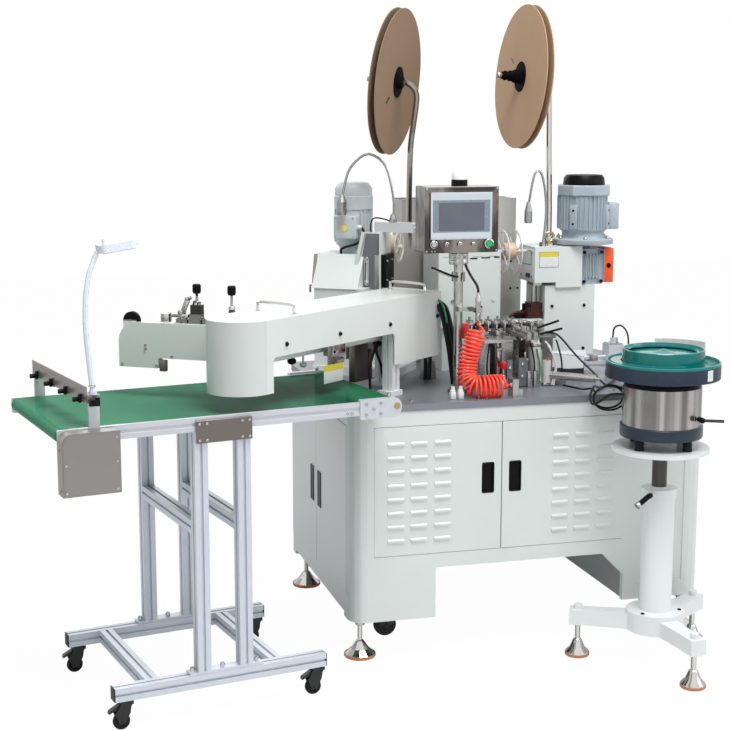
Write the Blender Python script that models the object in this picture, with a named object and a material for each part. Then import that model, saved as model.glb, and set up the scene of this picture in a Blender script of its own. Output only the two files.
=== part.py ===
"""Terminal crimping machine on a louvred cabinet, with a belt conveyor and a bowl feeder on stands of their own.

Sizes are in metres. The cabinet's centre on the floor is the origin while the solids are made, and the last lines
move the whole machine so that the centre of its footprint is the origin. X runs along the cabinet's front from left to
right, Y from front to rear and Z up.
"""

import math

import bmesh
import bpy
import numpy as np
from mathutils import Matrix, Vector

# Cabinet and table
CABINET_WIDTH = 1.22
CABINET_DEPTH = 0.90
CABINET_BOTTOM = 0.131
CABINET_TOP = 0.8125
CABINET_WALL = 0.020
CORNER_RADIUS = 0.05
CORNER_POST = 0.075
UNDERSIDE = 0.310
TABLE_TOP = 0.835
TABLE_LIP = 0.003
DOOR_LOW = 0.344
DOOR_HIGH = 0.765
DOOR_THICK = 0.015
DOOR_GAP = 0.0016
FRONT_DOORS = (0.075 - CABINET_WIDTH / 2, -0.110, CABINET_WIDTH / 2 - 0.295)
FRONT_PULLS = ((-0.178, -0.135), (-0.0855, -0.0425))
SIDE_DOORS = (0.065 - CABINET_DEPTH / 2, 0.025, CABINET_DEPTH / 2 - 0.050)
SIDE_PULLS = ((-0.036, -0.012), (0.068, 0.092))
SIDE_DOOR_LOW = 0.205
LOUVRE_COLUMNS = ((-0.4646, -0.3886, -0.3102), (0.0915, 0.1700, 0.2500))
LOUVRE_ROWS = tuple(0.396 + 0.0448 * row for row in range(8))
LOUVRE = (0.054, 0.009, 0.006)
FOOT_X = CABINET_WIDTH / 2 - 0.045
FOOT_Y = CABINET_DEPTH / 2 - 0.065
FOOT_PLACES = ((-FOOT_X, -FOOT_Y), (FOOT_X, -FOOT_Y), (-FOOT_X, FOOT_Y), (FOOT_X, FOOT_Y))
SEAT = 0.0003

# Conveyor, in its own axes: U along the belt and V across it
CONVEYOR_CENTRE = (-1.0577, -0.4579)
CONVEYOR_TURN = 11.0
BELT_TOP = 0.888
BELT_THICK = 0.0025
BELT_HALF_WIDTH = 0.252
ROLLER_RADIUS = 0.0165
ROLLERS = (-0.5157, 0.5000)
RAIL_HEIGHT = 0.040
RAIL_OUTSIDE = 0.269
RAIL_WEB = 0.014
PROFILE = 0.040
LEG_PLACES = (-0.121, 0.0095)
LEG_LINE = 0.248
BEAM_LOW = 0.088
BEAM_ENDS = (-0.39, 0.265)
CROSSBEAMS = (-0.270, 0.115)
CASTER_PLACES = (-0.355, 0.243)
CASTER_WHEEL = 0.025
CASTER_TRAIL = 0.014

# Wire transport arm, in its own axes: S along the arm from its round end and T across it
ARM_END = (-0.991, -0.647)
ARM_TURN = 38.8
ARM_LENGTH = 0.910
ARM_HALF_WIDTH = 0.0985
ARM_LOW = 0.940
ARM_HIGH = 1.153
ARM_WALL = 0.004
ARM_TOE = 0.035
ARM_POSTS = ((ARM_LENGTH - 0.250, -0.068), (ARM_LENGTH - 0.110, 0.062))
BRIDGE = (0.030, ARM_LENGTH - 0.273, 1.043)

# Wire straightener, in its own axes: S along the plate and T through it
STRAIGHTENER_END = (-1.0, -0.55)
STRAIGHTENER_TURN = -33.8

# Presses, reels and control panel
RIGHT_MOTOR = (0.400, 0.120)
REEL_RADIUS = 0.247
REEL_GAP = 0.018
BOARD = 0.003
RIGHT_REEL = (0.163, 0.120, 1.861, 4.0)
SPOOL_AXLE = (0.125, 1.253)
PANEL_POST = (-0.209, -0.290)
PANEL = (-0.340, -0.093, -0.340, -0.240, 1.296, 1.506)

# Left press, in its own axes: U along its front and V from front to rear
LEFT_PRESS_CENTRE = (-0.36, 0.16)
LEFT_PRESS_TURN = -33.8
LEFT_MOTOR = (-0.0996, 0.050)
LEFT_REEL = (0.067, 0.0, 1.842, 6.5)
LEFT_SPOOL = (0.098, 1.271)

# Bowl feeder
BOWL_AXIS = (0.337, -0.668)
TRIPOD_RADIUS = 0.2436
TRIPOD_ANGLES = (153.4, 273.1, 33.4)
PLATFORM_TOP = 0.704

FINISHES = {
    "white": ((0.78, 0.80, 0.78), 0.38, 0.0),
    "steel": ((0.55, 0.54, 0.52), 0.32, 1.0),
    "chrome": ((0.80, 0.80, 0.80), 0.12, 1.0),
    "aluminium": ((0.66, 0.68, 0.71), 0.35, 0.9),
    "table": ((0.30, 0.31, 0.34), 0.35, 0.8),
    "black": ((0.02, 0.02, 0.025), 0.45, 0.0),
    "belt": ((0.02, 0.25, 0.15), 0.45, 0.0),
    "green": ((0.02, 0.32, 0.24), 0.45, 0.0),
    "bluegrey": ((0.40, 0.47, 0.52), 0.45, 0.0),
    "board": ((0.42, 0.29, 0.19), 0.85, 0.0),
    "red": ((0.85, 0.06, 0.03), 0.35, 0.0),
    "clear": ((0.70, 0.68, 0.64), 0.15, 0.0),
    "brown": ((0.09, 0.03, 0.02), 0.40, 0.0),
    }


def clear_scene():
    for obj in list(bpy.data.objects):
        bpy.data.objects.remove(obj, do_unlink=True)


def closed(shape):
    bmesh.ops.recalc_face_normals(shape, faces=shape.faces)
    return shape


def laid(point, height, axis):
    """An outline's point at this height along the axis that the outline faces."""
    first, second = point
    if axis == "X":
        return (height, first, second)
    if axis == "Y":
        return (first, height, second)
    return (first, second, height)


def prism(outline, low, high, axis="Z"):
    shape = bmesh.new()
    rings = []
    for height in (low, high):
        rings.append([shape.verts.new(laid(point, height, axis)) for point in outline])
    shape.faces.new(rings[0])
    shape.faces.new(rings[1])
    for i in range(len(outline)):
        j = (i + 1) % len(outline)
        shape.faces.new((rings[0][i], rings[0][j], rings[1][j], rings[1][i]))
    return closed(shape)


def box(x, y, z):
    """A block from three (low, high) pairs."""
    return prism(((x[0], y[0]), (x[1], y[0]), (x[1], y[1]), (x[0], y[1])), z[0], z[1])


def rounded(x, y, radii, steps=4):
    """A rectangle's outline with a radius at each corner, from the low corner counter-clockwise."""
    corners = ((x[0], y[0], 180), (x[1], y[0], 270), (x[1], y[1], 0), (x[0], y[1], 90))
    inward = ((1, 1), (-1, 1), (-1, -1), (1, -1))
    points = []
    for (px, py, start), (sx, sy), radius in zip(corners, inward, radii):
        if radius == 0:
            points.append((px, py))
            continue
        for i in range(steps + 1):
            angle = math.radians(start + 90 * i / steps)
            across = px + sx * radius + radius * math.cos(angle)
            points.append((across, py + sy * radius + radius * math.sin(angle)))
    return points


def lathe(profile, centre=(0, 0, 0), axis="Z", steps=20, ring=False):
    """Turns (radius, height) points about an axis through the centre. A ring's profile closes on itself."""
    shape = bmesh.new()
    rows = []
    for radius, height in profile:
        if radius == 0:
            rows.append([shape.verts.new(spun(0, 0, height, centre, axis))])
            continue
        row = []
        for i in range(steps):
            angle = 2 * math.pi * (i + 0.5) / steps
            row.append(shape.verts.new(spun(radius * math.cos(angle), radius * math.sin(angle), height, centre, axis)))
        rows.append(row)
    pairs = list(zip(rows, rows[1:]))
    if ring:
        pairs.append((rows[-1], rows[0]))
    for low, high in pairs:
        for i in range(steps):
            j = (i + 1) % steps
            corners = [low[i % len(low)], low[j % len(low)], high[j % len(high)], high[i % len(high)]]
            shape.faces.new(list(dict.fromkeys(corners)))
    return closed(shape)


def spun(first, second, height, centre, axis):
    point = laid((first, second), height, axis)
    return tuple(p + c for p, c in zip(point, centre))


def cylinder(radius, low, high, centre=(0, 0, 0), axis="Z", steps=12):
    return lathe(((0, low), (radius, low), (radius, high), (0, high)), centre, axis, steps)


def swept(points, radii, sides=8):
    """A round bar along the points, with one radius or a radius for each point."""
    path = [Vector(point) for point in points]
    if not isinstance(radii, (list, tuple)):
        radii = [radii] * len(path)
    shape = bmesh.new()
    along = (path[1] - path[0]).normalized()
    side = along.orthogonal().normalized()
    rows = []
    for i, point in enumerate(path):
        ahead = path[min(i + 1, len(path) - 1)] - path[max(i - 1, 0)]
        side = (side - side.project(ahead)).normalized()
        other = ahead.normalized().cross(side)
        row = []
        for k in range(sides):
            angle = 2 * math.pi * k / sides
            offset = side * math.cos(angle) + other * math.sin(angle)
            row.append(shape.verts.new(point + offset * radii[i]))
        rows.append(row)
    for low, high in zip(rows, rows[1:]):
        for i in range(sides):
            j = (i + 1) % sides
            shape.faces.new((low[i], low[j], high[j], high[i]))
    shape.faces.new(rows[0])
    shape.faces.new(rows[-1])
    return closed(shape)


def smooth_path(points, steps):
    """Points along a smooth curve through the given ones."""
    knots = [Vector(point) for point in points]
    knots = [2 * knots[0] - knots[1]] + knots + [2 * knots[-1] - knots[-2]]
    path = []
    for before, start, end, after in zip(knots, knots[1:], knots[2:], knots[3:]):
        for i in range(steps):
            t = i / steps
            path.append(
                0.5 * (2 * start + (end - before) * t
                       + (2 * before - 5 * start + 4 * end - after) * t * t
                       + (3 * start - before - 3 * end + after) * t * t * t)
            )
    path.append(knots[-2])
    return path


def together(shapes):
    """Several solids as one, for a cutter or a union."""
    whole = bmesh.new()
    for shape in shapes:
        mesh = bpy.data.meshes.new("piece")
        shape.to_mesh(mesh)
        shape.free()
        whole.from_mesh(mesh)
        bpy.data.meshes.remove(mesh)
    return whole


def tilted(shape, degrees, axis, centre):
    turn = Matrix.Rotation(math.radians(degrees), 4, axis)
    bmesh.ops.rotate(shape, verts=shape.verts, cent=centre, matrix=turn)
    return shape


def meshed(name, shape, origin):
    mesh = bpy.data.meshes.new(name)
    bmesh.ops.translate(shape, verts=shape.verts, vec=-Vector(origin))
    shape.to_mesh(mesh)
    shape.free()
    obj = bpy.data.objects.new(name, mesh)
    bpy.context.scene.collection.objects.link(obj)
    return obj


def finish_of(name, finish):
    colour, roughness, metallic = FINISHES[finish]
    material = bpy.data.materials.new(name)
    material.use_nodes = True
    shader = material.node_tree.nodes["Principled BSDF"]
    shader.inputs["Base Color"].default_value = (*colour, 1)
    shader.inputs["Roughness"].default_value = roughness
    shader.inputs["Metallic"].default_value = metallic
    return material


def part(name, shape, finish, axes, origin=(0, 0, 0), joins=(), cuts=()):
    """One piece of the machine. Its origin is on its joint's axis, and joins and cuts are in the same axes."""
    obj = meshed(name, shape, origin)
    obj.parent = axes
    obj.location = origin
    obj.data.shade_smooth()
    obj.data.set_sharp_from_angle(angle=math.radians(35))
    obj.data.materials.append(finish_of(name, finish))
    for operation, tools in (("UNION", joins), ("DIFFERENCE", cuts)):
        for number, tool in enumerate(tools, 1):
            helper = meshed(f"{name}_{operation.lower()}_{number}", tool, origin)
            helper.parent = obj
            helper.hide_render = True
            helper.display_type = "WIRE"
            change = obj.modifiers.new(helper.name, "BOOLEAN")
            change.operation = operation
            change.object = helper
            change.solver = "EXACT"
    return obj


def empty(name, place, turn=0.0, parent=None):
    obj = bpy.data.objects.new(name, None)
    bpy.context.scene.collection.objects.link(obj)
    obj.location = (place[0], place[1], 0)
    obj.rotation_euler = (0, 0, math.radians(turn))
    obj.parent = parent
    return obj


def profile_bar(x, y, z, long_axis, groove=0.008, depth=0.007):
    """A T-slot bar: a block with a groove along the middle of its four long faces."""
    spans = {"X": x, "Y": y, "Z": z}
    others = [axis for axis in "XYZ" if axis != long_axis]
    low, high = spans[long_axis]
    (a0, a1), (b0, b1) = spans[others[0]], spans[others[1]]
    am, bm = (a0 + a1) / 2, (b0 + b1) / 2
    half = groove / 2
    outline = [
        (a0, b0), (am - half, b0), (am - half, b0 + depth), (am + half, b0 + depth), (am + half, b0), (a1, b0),
        (a1, bm - half), (a1 - depth, bm - half), (a1 - depth, bm + half), (a1, bm + half), (a1, b1),
        (am + half, b1), (am + half, b1 - depth), (am - half, b1 - depth), (am - half, b1), (a0, b1),
        (a0, bm + half), (a0 + depth, bm + half), (a0 + depth, bm - half), (a0, bm - half),
    ]
    return prism(outline, low, high, long_axis)


def levelling_foot(place, top, radius=0.050):
    """A rubber-soled bell foot with its threaded rod and nut, as one turned solid."""
    x, y = place
    profile = (
        (0, 0), (radius, 0), (radius, 0.010), (radius * 0.60, 0.028), (0.013, 0.052), (0.0075, 0.056),
        (0.0075, top - 0.020), (0.014, top - 0.018), (0.014, top), (0, top),
    )
    return lathe(profile, (x, y, 0), steps=12)


def make_cabinet(machine):
    half_width, half_depth = CABINET_WIDTH / 2, CABINET_DEPTH / 2
    outside = rounded((-half_width, half_width), (-half_depth, half_depth), (CORNER_RADIUS,) * 4)
    inside_x = half_width - CABINET_WALL
    inside_y = half_depth - CABINET_WALL
    post = CORNER_POST
    under = [
        (-inside_x, -inside_y + post), (-inside_x + post, -inside_y + post), (-inside_x + post, -inside_y),
        (inside_x - post, -inside_y), (inside_x - post, -inside_y + post), (inside_x, -inside_y + post),
        (inside_x, inside_y - post), (inside_x - post, inside_y - post), (inside_x - post, inside_y),
        (-inside_x + post, inside_y), (-inside_x + post, inside_y - post), (-inside_x, inside_y - post),
    ]
    truck_way = ((-0.33, 0.10), (0.324, 0.10), (0.324, 0.221), (0.248, 0.297), (-0.33, 0.297))
    left, _, right = FRONT_DOORS
    front, _, rear = SIDE_DOORS
    inner = 0.008
    cuts = [
        prism(under, 0.10, UNDERSIDE),
        box((-inside_x, inside_x), (-inside_y, inside_y), (UNDERSIDE + 0.015, CABINET_TOP - 0.020)),
        prism(truck_way, -half_depth - 0.01, half_depth + 0.01, "Y"),
        box((left, right), (-half_depth - 0.01, -inside_y + 0.01), (DOOR_LOW, DOOR_HIGH)),
        box((-half_width - 0.01, -inside_x + 0.01), (front, rear), (SIDE_DOOR_LOW, DOOR_HIGH)),
        box((-half_width - 0.01, half_width + 0.01), (-0.355, 0.355), (0.10, 0.146)),
        box((0.365, 0.539), (-half_depth - 0.01, -half_depth + 0.003), (0.184, 0.795)),
    ]
    shell = prism(outside, CABINET_BOTTOM, CABINET_TOP)
    part("cabinet_shell", shell, "white", machine, cuts=cuts)

    wide, deep = half_width + TABLE_LIP, half_depth + TABLE_LIP
    plate = rounded((-wide, wide), (-deep, deep), (CORNER_RADIUS + TABLE_LIP,) * 4)
    front = -half_depth
    joins = [
        box((-0.066, -0.046), (front + 0.026, front + 0.070), (TABLE_TOP - 0.002, 0.892)),
        box((-0.0475, -0.030), (front + 0.030, front + 0.066), (TABLE_TOP - 0.002, 0.858)),
    ]
    part("table_top", prism(plate, CABINET_TOP + SEAT, TABLE_TOP), "table", machine, joins=joins)

    face = -half_depth - 0.001
    for side, name in enumerate(("front_door_left", "front_door_right")):
        gaps = (SEAT, DOOR_GAP) if side == 0 else (DOOR_GAP, SEAT)
        low, high = FRONT_DOORS[side] + gaps[0], FRONT_DOORS[side + 1] - gaps[1]
        door = box((low, high), (face, face + DOOR_THICK), (DOOR_LOW + DOOR_GAP, DOOR_HIGH - DOOR_GAP))
        pull = prism(rounded(FRONT_PULLS[side], (0.531, 0.633), (0.006,) * 4, 2), face - 0.01, face + inner, "Y")
        origin = ((low, high)[side], face, 0)
        part(name, door, "white", machine, origin, joins=[louvre_grid(LOUVRE_COLUMNS[side], face)], cuts=[pull])

    face = -half_width - 0.001
    for side, name in enumerate(("side_door_front", "side_door_rear")):
        gaps = (SEAT, DOOR_GAP) if side == 0 else (DOOR_GAP, SEAT)
        low, high = SIDE_DOORS[side] + gaps[0], SIDE_DOORS[side + 1] - gaps[1]
        door = box((face, face + DOOR_THICK), (low, high), (SIDE_DOOR_LOW + DOOR_GAP, DOOR_HIGH - DOOR_GAP))
        pull = prism(rounded(SIDE_PULLS[side], (0.413, 0.527), (0.004,) * 4, 2), face - 0.01, face + inner, "X")
        part(name, door, "white", machine, (face, (low, high)[side], 0), cuts=[pull])

    for number, place in enumerate(FOOT_PLACES, 1):
        foot = levelling_foot(place, CABINET_BOTTOM - SEAT)
        part(f"cabinet_foot_{number}", foot, "chrome", machine, (place[0], place[1], 0))


def louvre_grid(columns, face):
    """Pressed louvres in columns and rows: each rises out of the sheet and drops back to it at its lower edge."""
    long, tall, deep = LOUVRE
    shapes = []
    for x in columns:
        for z in LOUVRE_ROWS:
            section = (
                (face + 0.004, z - tall * 0.8), (face - deep * 0.8, z - tall * 0.6), (face - deep * 0.8, z),
                (face + 0.004, z + tall),
            )
            shapes.append(prism(section, x - long / 2, x + long / 2, "X"))
    return together(shapes)


def make_conveyor(machine):
    axes = empty("conveyor_axes", CONVEYOR_CENTRE, CONVEYOR_TURN, machine)
    roller_z = BELT_TOP - ROLLER_RADIUS - BELT_THICK - SEAT
    rail_low = BELT_TOP - RAIL_HEIGHT
    inner = RAIL_OUTSIDE - RAIL_WEB
    bed_top = BELT_TOP - BELT_THICK - SEAT
    left, right = ROLLERS

    joins = []
    for side in (-1, 1):
        outer, web = side * RAIL_OUTSIDE, side * inner
        section = [(outer, rail_low)]
        for middle in (rail_low + 0.020,):
            section += [
                (outer, middle - 0.006), (outer - side * 0.004, middle - 0.005), (outer - side * 0.004, middle + 0.005),
                (outer, middle + 0.006),
            ]
        section += [(outer, BELT_TOP), (web, BELT_TOP), (web, rail_low)]
        joins.append(prism(section, left + 0.020, right - 0.020, "X"))
        for low, high, proud in ((left - 0.014, left + 0.060, 0.002), (0.378, right + 0.016, 0.005)):
            cheek = rounded((low, high), (rail_low - 0.006, BELT_TOP - 0.0005), (0.004, 0.004, 0.004, 0.004), 3)
            if low > 0:
                cheek = rounded((low, high), (rail_low - 0.012, BELT_TOP + 0.008), (0.004, 0.028, 0.028, 0.004), 6)
            faces = sorted((side * (inner + 0.003), side * (RAIL_OUTSIDE + proud)))
            joins.append(prism(cheek, faces[0], faces[1], "Y"))
    bores = [cylinder(0.0068, -0.30, 0.30, (end, 0, roller_z), "Y", 12) for end in ROLLERS]
    bed = box((left + 0.026, right - 0.026), (-inner - 0.002, inner + 0.002), (bed_top - 0.012, bed_top))
    part("conveyor_frame", bed, "aluminium", axes, joins=joins, cuts=bores)

    belt = prism(stadium(ROLLERS, roller_z, ROLLER_RADIUS + SEAT + BELT_THICK), -BELT_HALF_WIDTH, BELT_HALF_WIDTH, "Y")
    loop = prism(stadium(ROLLERS, roller_z, ROLLER_RADIUS + SEAT), -0.3, 0.3, "Y")
    part("conveyor_belt", belt, "belt", axes, cuts=[loop])

    ends = RAIL_OUTSIDE - 0.001
    profile = (
        (0, -ends), (0.0063, -ends), (0.0063, -0.2505), (ROLLER_RADIUS, -0.2500), (ROLLER_RADIUS, 0.2500),
        (0.0063, 0.2505), (0.0063, ends), (0, ends),
    )
    for name, end in (("drive_roller", left), ("tail_roller", right)):
        centre = (end, 0, roller_z)
        part(name, lathe(profile, centre, "Y", 16), "steel", axes, centre)

    cover = rounded((-0.533, -0.370), (0.712, 0.885), (0.002, 0.002, 0.002, 0.028), 6)
    lid = rounded((-0.530, -0.373), (0.715, 0.882), (0.002, 0.002, 0.002, 0.026), 6)
    joins = [prism(lid, -0.3215, -0.310, "Y")]
    for z in (0.727, 0.840):
        joins.append(cylinder(0.0040, -0.5350, -0.530, (0, -0.298, z), "X", 8))
    front = -RAIL_OUTSIDE - 0.0024
    part("conveyor_gearbox_cover", prism(cover, -0.320, front, "Y"), "steel", axes, joins=joins)
    make_stand(axes)
    make_guide(axes)


def stadium(ends, height, radius, steps=10):
    points = []
    for end, start in ((ends[1], -90), (ends[0], 90)):
        for i in range(steps + 1):
            angle = math.radians(start + 180 * i / steps)
            points.append((end + radius * math.cos(angle), height + radius * math.sin(angle)))
    return points


def make_stand(axes):
    half = PROFILE / 2
    top = BELT_TOP - RAIL_HEIGHT - SEAT
    beam_top = BEAM_LOW + PROFILE
    foot = beam_top + SEAT
    line = LEG_LINE
    shapes = []
    for u in LEG_PLACES:
        span = (u - half, u + half)
        for side in (-1, 1):
            across = (side * line - half, side * line + half)
            shapes.append(profile_bar(span, across, (foot + 0.004, top), "Z"))
        bar = (-line + half - 0.008, line - half + 0.008)
        shapes.append(profile_bar((u - half + 0.0005, u + half - 0.0005), bar, (0.540, 0.580), "Y"))
    for side in (-1, 1):
        flat = (side * line - half + 0.001, side * line + half - 0.001)
        shapes.append(box((-0.165, 0.060), flat, (foot, foot + 0.008)))
        for u in (-0.153, -0.060, 0.046):
            shapes.append(cylinder(0.008, foot + 0.007, foot + 0.014, (u, side * line, 0), steps=6))
        front = sorted((side * (line + half - 0.002), side * (line + half + 0.0055)))
        shapes.append(box((-0.137, 0.032), front, (0.816, 0.8475)))
    part("stand_legs", shapes[0], "aluminium", axes, joins=shapes[1:])

    beams = []
    for side in (-1, 1):
        beams.append(profile_bar(BEAM_ENDS, (side * line - half, side * line + half), (BEAM_LOW, beam_top), "X"))
    for u in CROSSBEAMS:
        reach = (-line + half - 0.009, line - half + 0.009)
        beams.append(profile_bar((u - half, u + half), reach, (BEAM_LOW + 0.0005, beam_top - 0.0005), "Y"))
    number = 0
    for u in CASTER_PLACES:
        for side in (-1, 1):
            number += 1
            v = side * line
            beams.extend(caster_fork(u, v))
            profile = (
                (0.0048, -0.009), (0.022, -0.009), (CASTER_WHEEL, -0.006), (CASTER_WHEEL, 0.006), (0.022, 0.009),
                (0.0048, 0.009),
            )
            centre = (u - CASTER_TRAIL, v, CASTER_WHEEL)
            part(f"caster_wheel_{number}", lathe(profile, centre, "Y", 14, ring=True), "black", axes, centre)
    part("stand_base", beams[0], "aluminium", axes, joins=beams[1:])


def caster_fork(u, v):
    """A swivel caster's plate, fork, axle and brake lever, with the axle behind the swivel."""
    wheel_u = u - CASTER_TRAIL
    cheek = (
        (u + 0.014, 0.076), (u - 0.020, 0.076), (wheel_u - 0.020, 0.050), (wheel_u - 0.010, 0.018),
        (wheel_u + 0.008, 0.018), (u + 0.010, 0.050),
    )
    shapes = [box((u - 0.019, u + 0.019), (v - 0.017, v + 0.017), (0.0755, BEAM_LOW + 0.001))]
    shapes.append(box((u - 0.022, u + 0.015), (v - 0.0135, v + 0.0135), (0.0700, 0.0765)))
    for side in (-1, 1):
        faces = sorted((v + side * 0.0105, v + side * 0.0135))
        shapes.append(prism(cheek, faces[0], faces[1], "Y"))
    shapes.append(cylinder(0.0040, v - 0.0150, v + 0.0150, (wheel_u, 0, CASTER_WHEEL), "Y", 6))
    lever = ((u - 0.018, 0.066), (u - 0.052, 0.052), (u - 0.050, 0.060), (u - 0.020, 0.0765))
    shapes.append(prism(lever, v - 0.009, v + 0.009, "Y"))
    return shapes


def make_guide(axes):
    rail = RAIL_OUTSIDE - 0.001
    web = RAIL_OUTSIDE - RAIL_WEB + 0.0005
    floor = BELT_TOP + SEAT
    joins = [
        box((-0.443, -0.409), (-rail, -web), (0.958, 0.978)),
        box((-0.460, -0.430), (web, rail), (floor, 0.966)),
        swept([(-0.430, -0.262, 0.962), (-0.449, 0.262, 0.962)], 0.0060, 10),
        prism(((-0.4455, -0.262), (-0.4425, -0.262), (-0.4615, 0.262), (-0.4645, 0.262)), 0.955, 1.000),
        prism(((-0.4455, -0.262), (-0.4330, -0.262), (-0.4520, 0.262), (-0.4645, 0.262)), 0.955, 0.958),
    ]
    for i, v in enumerate((-0.215, -0.080, 0.060, 0.205)):
        u = -0.4400 - 0.0363 * (v + 0.262)
        joins.append(box((u - 0.004, u + 0.016), (v - 0.011, v + 0.011), (0.950, 0.974)))
        joins.append(cylinder(0.009, u + 0.015, u + 0.029, (0, v, 0.962), "X", 10))
    post = box((-0.441, -0.411), (-rail, -web), (floor, 0.960))
    part("belt_guide", post, "aluminium", axes, joins=joins)

    foot = (-0.426, -0.2615, 0.9805)
    bow = smooth_path(
        (foot, (-0.434, -0.2615, 1.060), (-0.441, -0.260, 1.181), (-0.430, -0.256, 1.290), (-0.400, -0.252, 1.366)), 4
    )
    head = prism(rounded((-0.400, -0.288), (-0.285, -0.223), (0.016, 0.026, 0.026, 0.016), 4), 1.362, 1.384)
    tilted(head, -8, "Y", (-0.395, -0.252, 1.372))
    joins = [
        head,
        cylinder(0.011, 0.9783, 0.990, (-0.426, -0.2615, 0), steps=12),
        cylinder(0.0060, 1.375, 1.400, (-0.386, -0.270, 0), steps=10),
    ]
    part("belt_lamp", swept(bow, 0.0075, 8), "white", axes, foot, joins=joins)


def make_arm(machine):
    axes = empty("arm_axes", ARM_END, ARM_TURN, machine)
    wide = ARM_HALF_WIDTH
    ends = (-wide, ARM_LENGTH)
    outside = rounded(ends, (-wide, wide), (wide - 0.0001, 0.006, 0.006, wide - 0.0001), 7)
    inset = wide - ARM_WALL
    inside = rounded(
        (ends[0] + ARM_WALL, ends[1] - ARM_WALL), (-inset, inset), (inset - 0.0001, 0.002, 0.002, inset - 0.0001), 7
    )
    left, right, roof = BRIDGE
    bridge = rounded((left, right), (ARM_LOW - 0.02, roof), (0, 0, 0.015, 0.015))
    toe = [(ARM_LENGTH + 0.01, ARM_LOW - 0.01), (ARM_LENGTH + 0.01, ARM_LOW + ARM_TOE)]
    for i in range(5):
        angle = math.radians(-22.5 * i)
        toe.append((ARM_LENGTH - ARM_TOE * (1 - math.cos(angle)), ARM_LOW + ARM_TOE * (1 + math.sin(angle))))
    toe.append((ARM_LENGTH - ARM_TOE, ARM_LOW - 0.01))
    handles = []
    for s in (0.160, ARM_LENGTH - 0.060):
        rise = ARM_HIGH + 0.027
        path = smooth_path(
            ((s, -0.070, ARM_HIGH - 0.002), (s, -0.068, rise - 0.010), (s, -0.058, rise - 0.001), (s, 0.058, rise),
             (s, 0.068, rise - 0.010), (s, 0.070, ARM_HIGH - 0.002)), 2
        )
        handles.append(swept(path, 0.0045, 6))
    cuts = [
        prism(inside, ARM_LOW - 0.01, ARM_HIGH - ARM_WALL),
        prism(bridge, -0.12, 0.12, "Y"),
        prism(toe, -0.12, 0.12, "Y"),
        box((ARM_LENGTH - 0.012, ARM_LENGTH + 0.010), (-0.045, 0.045), (ARM_LOW - 0.010, 1.075)),
    ]
    part("arm_cover", prism(outside, ARM_LOW, ARM_HIGH), "white", axes, joins=handles, cuts=cuts)

    roof = ARM_HIGH - ARM_WALL - SEAT
    half = PROFILE / 2
    beam = profile_bar((-0.060, ARM_LENGTH - 0.015), (-0.020, 0.020), (1.010, 1.090), "X")
    joins = [box((0.020, ARM_LENGTH - 0.280), (-0.027, -0.018), (1.024, 1.040))]
    for s in (0.030, 0.450, ARM_LENGTH - 0.110):
        joins.append(box((s - 0.020, s + 0.020), (-0.030, 0.030), (1.085, roof)))
    for s, t in ARM_POSTS:
        joins.append(profile_bar((s - half, s + half), (t - half, t + half), (TABLE_TOP + SEAT, 1.085), "Z"))
        across = sorted((0.0, t + math.copysign(half - 0.001, t)))
        joins.append(box((s - 0.022, s + 0.022), across, (1.060, 1.088)))
        joins.append(box((s - 0.032, s + 0.032), (t - 0.0235, t + 0.032), (TABLE_TOP + SEAT, 0.852)))
    for s in (0.110, 0.300, 0.500):
        joins.append(lathe(
            ((0, 0.968), (0.006, 0.968), (0.012, 0.974), (0.012, 0.981), (0.0035, 0.984), (0.0035, 1.012), (0, 1.012)),
            (s, 0.008, 0), steps=8,
        ))
    part("arm_frame", beam, "white", axes, joins=joins)

    joins = [
        box((0.365, 0.415), (-0.052, -0.036), (0.960, 1.004)),
        box((0.3665, 0.383), (-0.056, -0.034), (0.944, 0.964)),
        box((0.397, 0.4135), (-0.056, -0.034), (0.944, 0.964)),
        cylinder(0.010, 0.372, 0.408, (0, -0.060, 0.985), "X", 8),
    ]
    shoe = box((0.355, 0.425), (-0.060, -0.0274), (1.0000, 1.050))
    part("pull_clamp", shoe, "aluminium", axes, (0.390, -0.0440, 1.025), joins=joins)



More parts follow.
